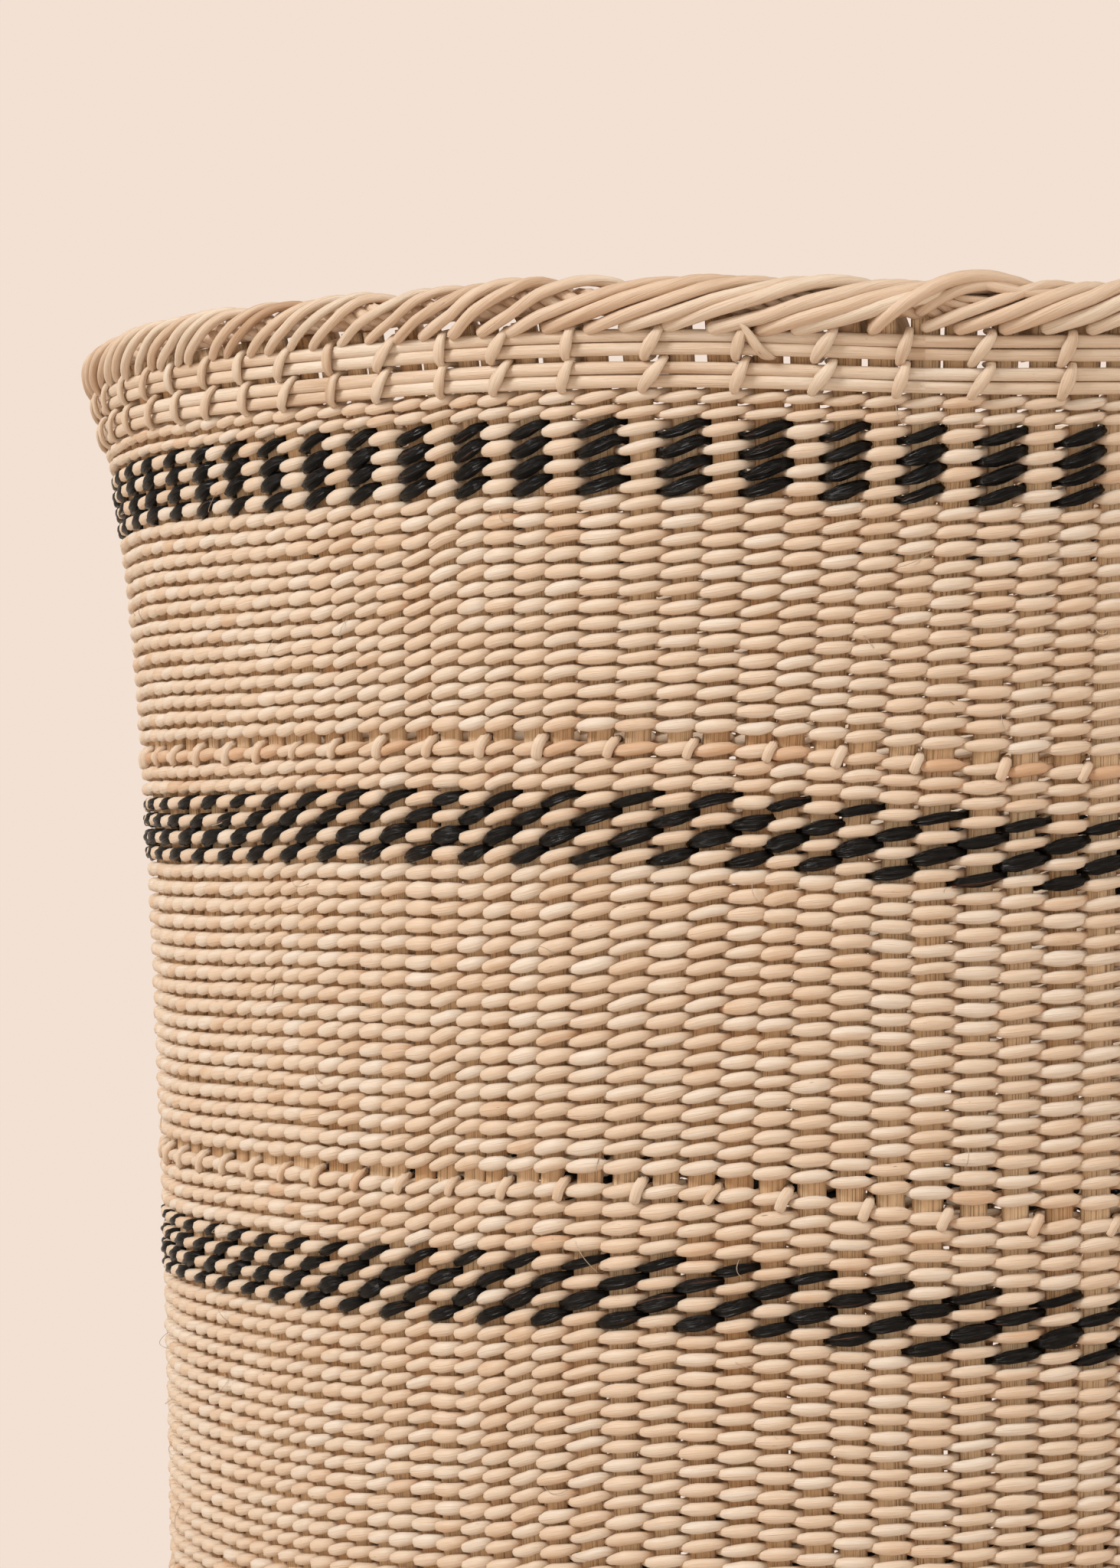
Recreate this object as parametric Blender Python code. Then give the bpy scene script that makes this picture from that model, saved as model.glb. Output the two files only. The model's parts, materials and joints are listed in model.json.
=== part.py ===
# Burden basket: a tall round basket, twined in pale cane over flat brown stakes.
# Metres, +Z up. The origin is the middle of the underside, on the surface it stands on.
# The wall is drawn with flat facets, each as wide as four stakes, and every piece
# follows those facets, so that neighbours run parallel.

import math

import bpy

# Stakes, the upright ribs
STAKE_COUNT = 152
STAKE_WIDTH = 0.0056
STAKE_THICKNESS = 0.0024
STAKES_PER_FACET = 4

# Clearance between neighbouring pieces
FIT_GAP = 0.0003

# Weave: its height on the wall, and how far the weft stands out of the stakes
WEAVE_HEIGHT = 0.4189
WEFT_DEPTH = 0.0028

# How high a row of each part of the wall is, as a share of a black band's row
TOP_ROW_SHARE = 0.79
BAND_ROW_SHARE = 1.0
UPPER_ROW_SHARE = 0.94
MIDDLE_ROW_SHARE = 1.005
LOWER_ROW_SHARE = 0.998
FOOT_ROW_SHARE = 0.99

# Outline of the wall: the rim's radius, and how far inside it the weave's outer face lies
# at the neck, the shoulder and the foot, with the depth of each below the rim
RIM_RADIUS = 0.2300
NECK_INSET = 0.0112
NECK_DEPTH = 0.0400
SHOULDER_INSET = 0.0220
SHOULDER_DEPTH = 0.1600
FOOT_INSET = 0.0290
TURN_RADIUS = 0.0260

# Base: half the side of the square where the two layers of stakes cross, and the radius
# of the opening that the weave leaves there
HUB_HALF = 0.0450
HUB_OPENING = 0.0490

# Relief of the base's rows of weave: broad ribs inside it, flat rings between grooves under it
RIB_SPACING = 0.0360
RIB_COUNT = 3
RELIEF = 0.0013
GROOVE_WIDTH = 0.0080

# Rolled border of bent stake ends
BORDER_HEIGHT = 0.0105
BORDER_DEPTH = 0.0110
BORDER_RELIEF = 0.0008
BORDER_SIDES = 6
BORDER_TWIST = 6

# Hoops bound to the stakes under the border, in two pairs, and their lashing
HOOP_THICKNESS = 0.0026
HOOP_SIDES = 6
STRAP_WIDTH = 0.0026
STRAP_THICKNESS = 0.0009

# Splice strand, which crosses over the border where its ends meet
SPLICE_THICKNESS = 0.0030
SPLICE_LENGTH = 0.0420
SPLICE_ANGLE = math.radians(-88)
SPLICE_SIDES = 6
SPLICE_STEPS = 8

# Rows of weave from the border down: name, number of rows, share for a row's height, colour
SECTIONS = (
    ("top_weave", 2, TOP_ROW_SHARE, "cane"),
    ("black_band_1", 4, BAND_ROW_SHARE, "black_palm"),
    ("natural_weave_upper", 17, UPPER_ROW_SHARE, "cane"),
    ("black_band_2", 4, BAND_ROW_SHARE, "black_palm"),
    ("natural_weave_middle", 21, MIDDLE_ROW_SHARE, "cane"),
    ("black_band_3", 4, BAND_ROW_SHARE, "black_palm"),
    ("natural_weave_lower", 22, LOWER_ROW_SHARE, "cane"),
    ("black_band_4", 4, BAND_ROW_SHARE, "black_palm"),
    ("foot_weave", 21, FOOT_ROW_SHARE, "cane"),
)

# The inside is woven in one go; its pieces end where these sections end
INNER_SECTIONS = (
    ("inner_weave_upper", "black_band_2"),
    ("inner_weave_middle", "black_band_3"),
    ("inner_weave_lower", "foot_weave"),
)

# Colour and roughness of each material
FINISHES = {
    "cane": ((0.72, 0.53, 0.34), 0.55),
    "hoop_cane": ((0.76, 0.60, 0.42), 0.50),
    "stake": ((0.38, 0.26, 0.16), 0.65),
    "black_palm": ((0.012, 0.011, 0.012), 0.40),
}

# Worked out from the sizes above
SIDES = STAKE_COUNT // STAKES_PER_FACET
STAKE_STEP = 2 * math.pi / STAKE_COUNT
STAKES_PER_FAN = STAKE_COUNT // 4

STAKE_OUTER = WEFT_DEPTH + FIT_GAP
STAKE_INNER = STAKE_OUTER + STAKE_THICKNESS
LINING_OUTER = STAKE_INNER + FIT_GAP
WALL_THICKNESS = LINING_OUTER + WEFT_DEPTH
STAKE_LINE = (STAKE_OUTER + STAKE_INNER) / 2

STRAP_SPACE = STRAP_THICKNESS + 2 * FIT_GAP
HOOP_PAIR_HEIGHT = 2 * HOOP_THICKNESS + FIT_GAP
UPPER_HOOPS_DEPTH = BORDER_HEIGHT + STRAP_SPACE
LOWER_HOOPS_DEPTH = UPPER_HOOPS_DEPTH + HOOP_PAIR_HEIGHT + STRAP_SPACE
WEAVE_TOP_DEPTH = LOWER_HOOPS_DEPTH + HOOP_PAIR_HEIGHT + STRAP_SPACE

ROW_PITCH = WEAVE_HEIGHT / sum(rows * share for _, rows, share, _ in SECTIONS)
WALL_DEPTH = WEAVE_TOP_DEPTH + WEAVE_HEIGHT
HEIGHT = WALL_DEPTH + TURN_RADIUS
FOOT_RADIUS = RIM_RADIUS - FOOT_INSET
BASE_RADIUS = FOOT_RADIUS - TURN_RADIUS
TOP_RADIUS = RIM_RADIUS - BORDER_DEPTH / 2 + STAKE_LINE

# Depth below the rim and outer radius of the weave, from the rim to the turn of the base
WALL_OUTLINE = (
    (0.0, TOP_RADIUS),
    (NECK_DEPTH, RIM_RADIUS - NECK_INSET),
    (SHOULDER_DEPTH, RIM_RADIUS - SHOULDER_INSET),
    (WALL_DEPTH, FOOT_RADIUS),
)


def clear_scene():
    for item in list(bpy.data.objects):
        bpy.data.objects.remove(item, do_unlink=True)


def make_material(name, finish):
    colour, roughness = FINISHES[finish]
    material = bpy.data.materials.new(name)
    material.use_nodes = True
    shader = material.node_tree.nodes["Principled BSDF"]
    shader.inputs["Base Color"].default_value = (*colour, 1.0)
    shader.inputs["Roughness"].default_value = roughness
    shader.inputs["Metallic"].default_value = 0.0
    material.diffuse_color = (*colour, 1.0)
    return material


def add_piece(name, points, faces, finish):
    mesh = bpy.data.meshes.new(name)
    mesh.from_pydata(points, [], faces)
    mesh.update()
    mesh.shade_smooth()
    mesh.set_sharp_from_angle(angle=math.radians(40))
    piece = bpy.data.objects.new(name, mesh)
    piece.data.materials.append(make_material(name, finish))
    bpy.context.collection.objects.link(piece)
    return piece


# Geometry helpers

def wall_radius(depth):
    for (low, start), (high, end) in zip(WALL_OUTLINE, WALL_OUTLINE[1:]):
        if depth <= high:
            return start + (end - start) * (depth - low) / (high - low)
    return FOOT_RADIUS


def facet_share(angle):
    half = math.pi / SIDES
    across = angle % (2 * half) - half
    return math.cos(half) / math.cos(across)


def place(angle, radius, z):
    reach = radius * facet_share(angle)
    return (reach * math.cos(angle), reach * math.sin(angle), z)


def turn_profile(offset):
    reach = TURN_RADIUS - offset
    corner = math.pi / 4
    return [
        (BASE_RADIUS + reach, TURN_RADIUS),
        (BASE_RADIUS + reach * math.cos(corner), TURN_RADIUS - reach * math.sin(corner)),
        (BASE_RADIUS, offset),
    ]


def wall_profile(top_depth, bottom_depth, offset):
    depths = [top_depth]
    for depth, _ in WALL_OUTLINE:
        if top_depth + FIT_GAP < depth < bottom_depth - FIT_GAP:
            depths.append(depth)
    depths.append(bottom_depth)
    return [(wall_radius(depth) - offset, HEIGHT - depth) for depth in depths]


# Rings and tubes

def add_ring(name, outer, inner, finish):
    """A closed ring between two profiles, each a list of (radius, z), from top to bottom or outwards."""
    loop = list(outer) + list(reversed(inner))
    count = len(loop)
    points = []
    for side in range(SIDES):
        angle = side * STAKES_PER_FACET * STAKE_STEP
        points.extend(place(angle, radius, z) for radius, z in loop)
    faces = []
    for side in range(SIDES):
        here = side * count
        there = (side + 1) % SIDES * count
        for row in range(count):
            after = (row + 1) % count
            faces.append((here + row, here + after, there + after, there + row))
    return add_piece(name, points, faces, finish)


def section_point(radius, z, turn, width, height):
    return (radius + width * math.cos(turn) / 2, z + height * math.sin(turn) / 2)


# Stakes: two layers that cross in the base, each with a fan of stakes on either side

def fan_edge(number):
    """Angle of a fan's dividing line, with a gap to the next fan at both ends."""
    angle = (number - STAKES_PER_FAN / 2) * STAKE_STEP
    if number == 0:
        angle += FIT_GAP / BASE_RADIUS
    if number == STAKES_PER_FAN:
        angle -= FIT_GAP / BASE_RADIUS
    return angle


def add_point(points, point):
    points.append(point)
    return len(points) - 1


def hub_point(centre, along, across, z):
    """A point of the hub, given along and across a fan's direction."""
    return (
        along * math.cos(centre) - across * math.sin(centre),
        along * math.sin(centre) + across * math.cos(centre),
        z,
    )


def fan_root(points, centre, step_z):
    """The hub's edge: pairs of points under and over the stakes, and the bridge's corners."""
    side = HUB_HALF - FIT_GAP
    line = []
    for number in range(STAKES_PER_FAN + 1):
        across = side * (2 * number / STAKES_PER_FAN - 1)
        under = add_point(points, hub_point(centre, HUB_HALF, across, STAKE_OUTER))
        over = add_point(points, hub_point(centre, HUB_HALF, across, STAKE_INNER))
        line.append((under, over))
    first = add_point(points, hub_point(centre, HUB_HALF, -side, step_z))
    last = add_point(points, hub_point(centre, HUB_HALF, side, step_z))
    return line, first, last


def fan_rows(points, centre):
    """Pairs of points under and over the stakes, in rows from the base up to the wall."""
    levels = list(zip(turn_profile(STAKE_OUTER), turn_profile(STAKE_INNER)))
    rows = []
    for outside, inside in reversed(levels):
        row = []
        for number in range(STAKES_PER_FAN + 1):
            angle = centre + fan_edge(number)
            under = add_point(points, place(angle, *outside))
            over = add_point(points, place(angle, *inside))
            row.append((under, over))
        rows.append(row)
    return rows


def close_fan(faces, root, rows):
    """The fan's under and upper faces as far as the last row but one, and its two edges."""
    line, first, last = root
    for near, far in zip([line] + rows, rows[:-1]):
        for number in range(STAKES_PER_FAN):
            after = number + 1
            faces.append((near[number][0], near[after][0], far[after][0], far[number][0]))
            faces.append((near[after][1], near[number][1], far[number][1], far[after][1]))
    faces.append((line[0][0], rows[0][0][0], rows[0][0][1], line[0][1], first))
    faces.append((rows[0][-1][0], line[-1][0], last, line[-1][1], rows[0][-1][1]))
    for near, far in zip(rows, rows[1:]):
        faces.append((near[0][0], far[0][0], far[0][1], near[0][1]))
        faces.append((far[-1][0], near[-1][0], near[-1][1], far[-1][1]))


def add_stakes(name, direction, step_z, on_floor):
    """One layer of stakes: two fans joined by a bridge that is half a stake thick."""
    points = []
    faces = []
    roots = []
    for centre in (direction, direction + math.pi):
        root = fan_root(points, centre, step_z)
        rows = fan_rows(points, centre)
        close_fan(faces, root, rows)
        for number in range(STAKES_PER_FAN):
            add_stake(points, faces, centre, number, rows)
        roots.append(root)
    add_bridge(faces, roots, on_floor)
    return add_piece(name, points, faces, "stake")


def add_stake(points, faces, centre, number, rows):
    """One upright stake, standing on the last row of its fan."""
    middle = centre + (2 * number + 1 - STAKES_PER_FAN) / 2 * STAKE_STEP
    depths = [WALL_DEPTH]
    depths.extend(depth for depth, _ in reversed(WALL_OUTLINE[1:-1]))
    depths.append(BORDER_HEIGHT + FIT_GAP)

    quads = []
    for depth in depths:
        radius = wall_radius(depth)
        half = STAKE_WIDTH / 2 / (radius - STAKE_LINE)
        corners = (
            (STAKE_OUTER, -half),
            (STAKE_OUTER, half),
            (STAKE_INNER, half),
            (STAKE_INNER, -half),
        )
        quad = []
        for offset, side in corners:
            point = place(middle + side, radius - offset, HEIGHT - depth)
            quad.append(add_point(points, point))
        quads.append(quad)

    before = rows[-2]
    edge = rows[-1]
    after = number + 1
    foot = quads[0]
    faces.append((before[number][0], before[after][0], edge[after][0],
                  foot[1], foot[0], edge[number][0]))
    faces.append((before[after][1], before[number][1], edge[number][1],
                  foot[3], foot[2], edge[after][1]))
    faces.append((edge[number][0], foot[0], foot[3], edge[number][1]))
    faces.append((foot[1], edge[after][0], edge[after][1], foot[2]))
    for below, above in zip(quads, quads[1:]):
        for side in range(4):
            beside = (side + 1) % 4
            faces.append((below[side], below[beside], above[beside], above[side]))
    faces.append(tuple(quads[-1]))


def add_bridge(faces, roots, on_floor):
    """The flat bridge that joins a layer's two fans across the hub: its lower or upper half."""
    (line_a, first_a, last_a), (line_b, first_b, last_b) = roots
    if on_floor:
        flush = [pair[0] for pair in line_a] + [pair[0] for pair in line_b]
        faces.append(tuple(reversed(flush)))
        faces.append((first_a, last_a, first_b, last_b))
        for line, first, last in roots:
            faces.append((last, first) + tuple(pair[1] for pair in line))
        faces.append((line_b[-1][0], line_a[0][0], first_a, last_b))
        faces.append((line_a[-1][0], line_b[0][0], first_b, last_a))
    else:
        flush = [pair[1] for pair in line_a] + [pair[1] for pair in line_b]
        faces.append(tuple(flush))
        faces.append((first_a, last_b, first_b, last_a))
        for line, first, last in roots:
            faces.append((first, last) + tuple(pair[0] for pair in reversed(line)))
        faces.append((last_b, first_a, line_a[0][1], line_b[-1][1]))
        faces.append((last_a, first_b, line_b[0][1], line_a[-1][1]))


def build_stakes():
    add_stakes("stakes_east_west", 0.0, STAKE_LINE - FIT_GAP / 2, True)
    add_stakes("stakes_north_south", math.pi / 2, STAKE_LINE + FIT_GAP / 2, False)


# Weave

def grooved_profile(edge, z):
    """The underside, from the hub outwards: flat rings with a groove between each two."""
    profile = [(HUB_OPENING, z)]
    for number in reversed(range(RIB_COUNT)):
        middle = BASE_RADIUS - (number + 0.5) * RIB_SPACING
        profile.append((middle - GROOVE_WIDTH / 2, z))
        profile.append((middle, z + RELIEF))
        profile.append((middle + GROOVE_WIDTH / 2, z))
    profile.append((edge, z))
    return profile


def ribbed_profile(edge, z):
    """The inside, from the hub outwards: broad ribs whose crests lie at z, with troughs between."""
    profile = [(HUB_OPENING, z)]
    for number in reversed(range(RIB_COUNT)):
        profile.append((BASE_RADIUS - (number + 1) * RIB_SPACING, z))
        profile.append((BASE_RADIUS - (number + 0.5) * RIB_SPACING, z - RELIEF))
    profile.append((edge, z))
    return profile


def build_base():
    edge = BASE_RADIUS - FIT_GAP / 2
    add_ring("base_weave_outer", [(HUB_OPENING, WEFT_DEPTH), (edge, WEFT_DEPTH)],
             grooved_profile(edge, 0.0), "cane")
    add_ring("base_weave_inner", ribbed_profile(edge, WALL_THICKNESS),
             [(HUB_OPENING, LINING_OUTER), (edge, LINING_OUTER)], "cane")
    for name, outer, inner in (
        ("base_turn_outer", 0.0, WEFT_DEPTH),
        ("base_turn_inner", LINING_OUTER, WALL_THICKNESS),
    ):
        outside = turn_profile(outer)
        inside = turn_profile(inner)
        for profile in (outside, inside):
            radius, z = profile[-1]
            profile[-1] = (radius + FIT_GAP / 2, z)
            radius, z = profile[0]
            profile[0] = (radius, z - FIT_GAP / 2)
        add_ring(name, outside, inside, "cane")


def build_wall():
    top = WEAVE_TOP_DEPTH
    ends = {}
    for name, rows, share, finish in SECTIONS:
        bottom = top + rows * share * ROW_PITCH
        outside = wall_profile(top + FIT_GAP / 2, bottom - FIT_GAP / 2, 0.0)
        inside = wall_profile(top + FIT_GAP / 2, bottom - FIT_GAP / 2, WEFT_DEPTH)
        add_ring(name, outside, inside, finish)
        ends[name] = bottom
        top = bottom

    top = WEAVE_TOP_DEPTH
    for name, last in INNER_SECTIONS:
        bottom = ends[last]
        outside = wall_profile(top + FIT_GAP / 2, bottom - FIT_GAP / 2, LINING_OUTER)
        inside = wall_profile(top + FIT_GAP / 2, bottom - FIT_GAP / 2, WALL_THICKNESS)
        add_ring(name, outside, inside, "cane")
        top = bottom


# Hoops and their lashing

def hoop_offset():
    """How far the hoops' middle line lies outside the weave's outer face."""
    return FIT_GAP + HOOP_THICKNESS / 2 - STAKE_OUTER


def add_hoop(name, depth):
    radius = wall_radius(depth) + hoop_offset()
    points = []
    for side in range(SIDES):
        angle = side * STAKES_PER_FACET * STAKE_STEP
        for number in range(HOOP_SIDES):
            turn = 2 * math.pi * number / HOOP_SIDES
            reach, z = section_point(radius, HEIGHT - depth, turn, HOOP_THICKNESS, HOOP_THICKNESS)
            points.append(place(angle, reach, z))
    faces = []
    for side in range(SIDES):
        here = side * HOOP_SIDES
        there = (side + 1) % SIDES * HOOP_SIDES
        for number in range(HOOP_SIDES):
            after = (number + 1) % HOOP_SIDES
            faces.append((here + number, there + number, there + after, here + after))
    return add_piece(name, points, faces, "hoop_cane")


def add_lashing(name, pair_depth):
    """One strand wound round a pair of hoops and the stakes, one turn for every two stakes."""
    upper = wall_radius(pair_depth + HOOP_THICKNESS / 2)
    lower = wall_radius(pair_depth + HOOP_PAIR_HEIGHT - HOOP_THICKNESS / 2)
    hoop_face = hoop_offset() + HOOP_THICKNESS / 2 + FIT_GAP
    stake_face = -STAKE_INNER - FIT_GAP
    top = HEIGHT - pair_depth + FIT_GAP
    bottom = HEIGHT - pair_depth - HOOP_PAIR_HEIGHT - FIT_GAP
    strap = STRAP_THICKNESS
    # corner of the turn: steps along the rim, near corner and far corner as (radius, z)
    corners = (
        (0, (lower + hoop_face, bottom), (lower + hoop_face + strap, bottom - strap)),
        (1, (upper + hoop_face, top), (upper + hoop_face + strap, top + strap)),
        (1, (upper + stake_face, top), (upper + stake_face - strap, top + strap)),
        (2, (lower + stake_face, bottom), (lower + stake_face - strap, bottom - strap)),
    )
    points = []
    for turn in range(STAKE_COUNT // 2):
        for steps, near, far in corners:
            angle = (2 * turn + steps) * STAKE_STEP
            half = STRAP_WIDTH / 2 / far[0]
            points.append(place(angle, *near))
            points.append(place(angle + half, *far))
            points.append(place(angle - half, *far))
    rings = len(points) // 3
    faces = []
    for ring in range(rings):
        here = 3 * ring
        there = (ring + 1) % rings * 3
        for number in range(3):
            after = (number + 1) % 3
            faces.append((here + number, there + number, there + after, here + after))
    return add_piece(name, points, faces, "hoop_cane")


def build_hoops():
    for name, depth in (("upper", UPPER_HOOPS_DEPTH), ("lower", LOWER_HOOPS_DEPTH)):
        first = depth + HOOP_THICKNESS / 2
        second = first + HOOP_THICKNESS + FIT_GAP
        add_hoop(name + "_pair_top_hoop", first)
        add_hoop(name + "_pair_bottom_hoop", second)
        add_lashing(name + "_lashing", depth)


# Border

def border_line():
    """Radius and height of the border's middle line."""
    return RIM_RADIUS - BORDER_DEPTH / 2, HEIGHT - BORDER_HEIGHT / 2


def build_border():
    """The rolled border, with a ridge for every second stake end that slants round it."""
    radius, middle = border_line()
    points = []
    for column in range(STAKE_COUNT):
        sink = BORDER_RELIEF * (column % 2)
        for number in range(BORDER_SIDES):
            angle = (column + BORDER_TWIST * number / BORDER_SIDES) * STAKE_STEP
            turn = 2 * math.pi * number / BORDER_SIDES - math.pi / 2
            reach, z = section_point(radius, middle, turn, BORDER_DEPTH - 2 * sink,
                                     BORDER_HEIGHT - 2 * sink)
            points.append(place(angle, reach, z))
    faces = []
    for column in range(STAKE_COUNT):
        for number in range(BORDER_SIDES):
            after = (number + 1) % BORDER_SIDES
            shift = BORDER_TWIST if after == 0 else 0
            low = column * BORDER_SIDES + number
            low_next = (column + 1) % STAKE_COUNT * BORDER_SIDES + number
            high = (column + shift) % STAKE_COUNT * BORDER_SIDES + after
            high_next = (column + 1 + shift) % STAKE_COUNT * BORDER_SIDES + after
            faces.append((low, low_next, high_next, high))
    add_piece("border_roll", points, faces, "cane")


def build_splice():
    """A stake end that crosses over the border's top where the border was closed."""
    radius, _ = border_line()
    thick = SPLICE_THICKNESS
    half_span = SPLICE_LENGTH / 2 / radius
    points = []
    for step in range(SPLICE_STEPS + 1):
        share = 2 * step / SPLICE_STEPS - 1
        angle = SPLICE_ANGLE + half_span * share
        across = -share * BORDER_DEPTH / 4
        taper = 1 - share * share / 2
        z = HEIGHT + FIT_GAP + thick * taper / 2
        for number in range(SPLICE_SIDES):
            turn = 2 * math.pi * number / SPLICE_SIDES
            reach, height = section_point(radius + across, z, turn, thick * taper, thick * taper)
            points.append(place(angle, reach, height))
    faces = [tuple(range(SPLICE_SIDES))]
    for step in range(SPLICE_STEPS):
        here = step * SPLICE_SIDES
        there = here + SPLICE_SIDES
        for number in range(SPLICE_SIDES):
            after = (number + 1) % SPLICE_SIDES
            faces.append((here + number, there + number, there + after, here + after))
    last = SPLICE_STEPS * SPLICE_SIDES
    faces.append(tuple(last + number for number in reversed(range(SPLICE_SIDES))))
    add_piece("border_splice", points, faces, "cane")


def main():
    clear_scene()
    build_stakes()
    build_base()
    build_wall()
    build_hoops()
    build_border()
    build_splice()


main()
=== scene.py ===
"""Looks of the burden basket: every strand of the twined wall, base, hoops and border as its own mesh.

Metres, +Z up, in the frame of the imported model. -Y is the side that the photograph shows.
"""

import json
import math

import bpy
import numpy as np
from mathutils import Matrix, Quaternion, Vector

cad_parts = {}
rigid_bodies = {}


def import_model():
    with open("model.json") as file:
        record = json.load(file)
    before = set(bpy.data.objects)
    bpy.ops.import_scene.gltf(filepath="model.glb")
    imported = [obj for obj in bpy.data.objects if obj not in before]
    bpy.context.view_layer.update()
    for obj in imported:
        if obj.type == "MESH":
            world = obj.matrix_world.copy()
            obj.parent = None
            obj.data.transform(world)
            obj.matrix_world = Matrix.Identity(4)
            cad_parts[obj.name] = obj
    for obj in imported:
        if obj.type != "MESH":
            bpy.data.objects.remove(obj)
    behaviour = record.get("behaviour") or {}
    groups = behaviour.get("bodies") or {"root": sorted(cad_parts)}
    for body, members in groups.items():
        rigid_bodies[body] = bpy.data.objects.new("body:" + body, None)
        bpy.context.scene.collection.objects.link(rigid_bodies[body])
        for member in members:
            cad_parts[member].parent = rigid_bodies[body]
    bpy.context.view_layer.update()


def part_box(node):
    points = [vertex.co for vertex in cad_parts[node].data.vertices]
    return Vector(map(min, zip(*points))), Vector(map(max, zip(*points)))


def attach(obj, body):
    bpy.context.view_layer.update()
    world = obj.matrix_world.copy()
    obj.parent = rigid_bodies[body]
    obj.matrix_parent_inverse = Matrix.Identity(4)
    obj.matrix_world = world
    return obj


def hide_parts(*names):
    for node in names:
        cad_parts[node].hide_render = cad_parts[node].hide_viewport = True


for item in list(bpy.data.objects):
    bpy.data.objects.remove(item, do_unlink=True)

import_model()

MM = 0.001

# The basket's sizes, as in the solids
STAKES = 152
STEP = 2 * math.pi / STAKES
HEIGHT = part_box("border_roll")[1][2]
TURN_RADIUS = 26 * MM
WALL_DEPTH = HEIGHT - TURN_RADIUS
BASE_RADIUS = 175 * MM
STAKE_LINE = 4.3 * MM
STAKE_WIDTH = 6.5 * MM
STAKE_THICK = 2.4 * MM
STAKE_TOP = 9 * MM
TURN_LINE = TURN_RADIUS - STAKE_LINE
TURN_LENGTH = TURN_LINE * math.pi / 2
BASE_START = WALL_DEPTH + TURN_LENGTH
HOOP_PAIRS = (("upper", 14.75 * MM), ("lower", 21.95 * MM))
WEAVE_TOP = 25.2 * MM

# The wall's outline: radius at the rim, lean, flare under the rim and waist
WALL_RADIUS = 218.5 * MM
LEAN = 0.0395
FLARE = 9.5 * MM
FLARE_DEPTH = 35 * MM
WAIST = 4.2 * MM
# Waves round the wall, outwards and in the rows: millimetres, count, phase, turn from end to end.
# Here and below, numbers inside a sine only keep its waves from lining up with others
WALL_WAVES = ((0.7, 2, 0.6, 0.0), (0.5, 3, 2.1, 2.0), (0.3, 7, 0.0, 5.0), (0.25, 11, 0.0, -9.0))
ROW_WAVES = ((0.35, 5, 0.0, 6.0), (0.3, 9, 0.0, 11.0))
# How the rows sink to the right in front: middle and width in degrees of the step and of the stretch
# that shows it, and how much of it shows at each depth
ROW_SINK, SINK_STEP, SINK_STRETCH = 4 * MM, (-4, 10), (-4, 42)
SINK_SHARES = ((0.0, 0.25), (20 * MM, 0.3), (50 * MM, 0.5), (120 * MM, 1.0), (260 * MM, 0.9),
               (WALL_DEPTH, 0.0))

# Angle of the stake nearest the camera, and of the front
FIRST_STAKE = math.radians(-90.55)
FRONT = -math.pi / 2

# Rows of the wall from the top: section, number of rows, height of a row, kind, rows per piece
# and which stakes, even (0) or odd (1), carry the first black row or stand right of a stub
WALL_SECTIONS = (
    ("top_weave", 2, 3.4 * MM, "natural", 2, 0),
    ("black_band_1", 4, 4.3 * MM, "columns", 4, 0),
    ("natural_weave_upper", 17, 4.04 * MM, "stubs", 6, 1),
    ("black_band_2", 4, 4.3 * MM, "diagonals", 4, 1),
    ("natural_weave_middle", 21, 4.32 * MM, "stubs", 6, 0),
    ("black_band_3", 4, 4.3 * MM, "diagonals", 4, 0),
    ("natural_weave_lower", 22, 4.29 * MM, "stubs", 6, 1),
    ("black_band_4", 4, 4.3 * MM, "diagonals", 4, 1),
    ("foot_weave", 21, 4.29 * MM, "natural", 7, 0),
)
# Rows between the row of stubs and the band, and the room above the stubs as a share of a row
STUB_ROWS_ABOVE_BAND = {"natural_weave_upper": 2, "natural_weave_middle": 3, "natural_weave_lower": 3}
STUB_GAP = 0.38
# How thick the black strand is in each row of a band, and the cane one
BAND_FATNESS = {"columns": (0.86, 1.12, 1.12, 1.0), "diagonals": (0.82, 1.0, 1.24, 1.0)}
BAND_CANE_FATNESS = 0.95
# Rise of the stitches as a share of a row, and how much of it shows: degrees from the front, share
SLANT = {"natural": 0.185, "columns": 0.39, "diagonals": 0.3}
SLANT_SHARES = (
    (-180, 0.8), (-110, 0.6), (-78, 0.45), (-56, 0.62), (-42, 0.9), (-28, 1.05), (0, 0.86), (180, 0.8),
)

# Rows in the base: from where to where, stakes per stitch, and the first stake that goes so far
BASE_ZONES = ((174 * MM, 115 * MM, 1, 0), (115 * MM, 62 * MM, 2, 0), (62 * MM, 49 * MM, 4, 2))
BASE_PITCH = 4.25 * MM
BASE_PARTS = ((0, 7), (7, 14), (14, None))
TURN_ROWS = 8
# Where each stake out of four ends, measured from the middle. The third runs on through the hub
STAKE_ENDS = {0: 60 * MM, 1: 112 * MM, 3: 112 * MM}
THROUGH_HUB = 2
# Inside this radius half the stakes have ended, and how much of its room a stake fills at most
THINNED_RADIUS = 114 * MM
ROOM_SHARE = 0.47
HUB_START = 62 * MM
HUB_PITCH = 7 * MM
HUB_WIDTH = 5.9 * MM
HUB_THICK = 1.9 * MM
HUB_GAP = 0.05 * MM

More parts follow.
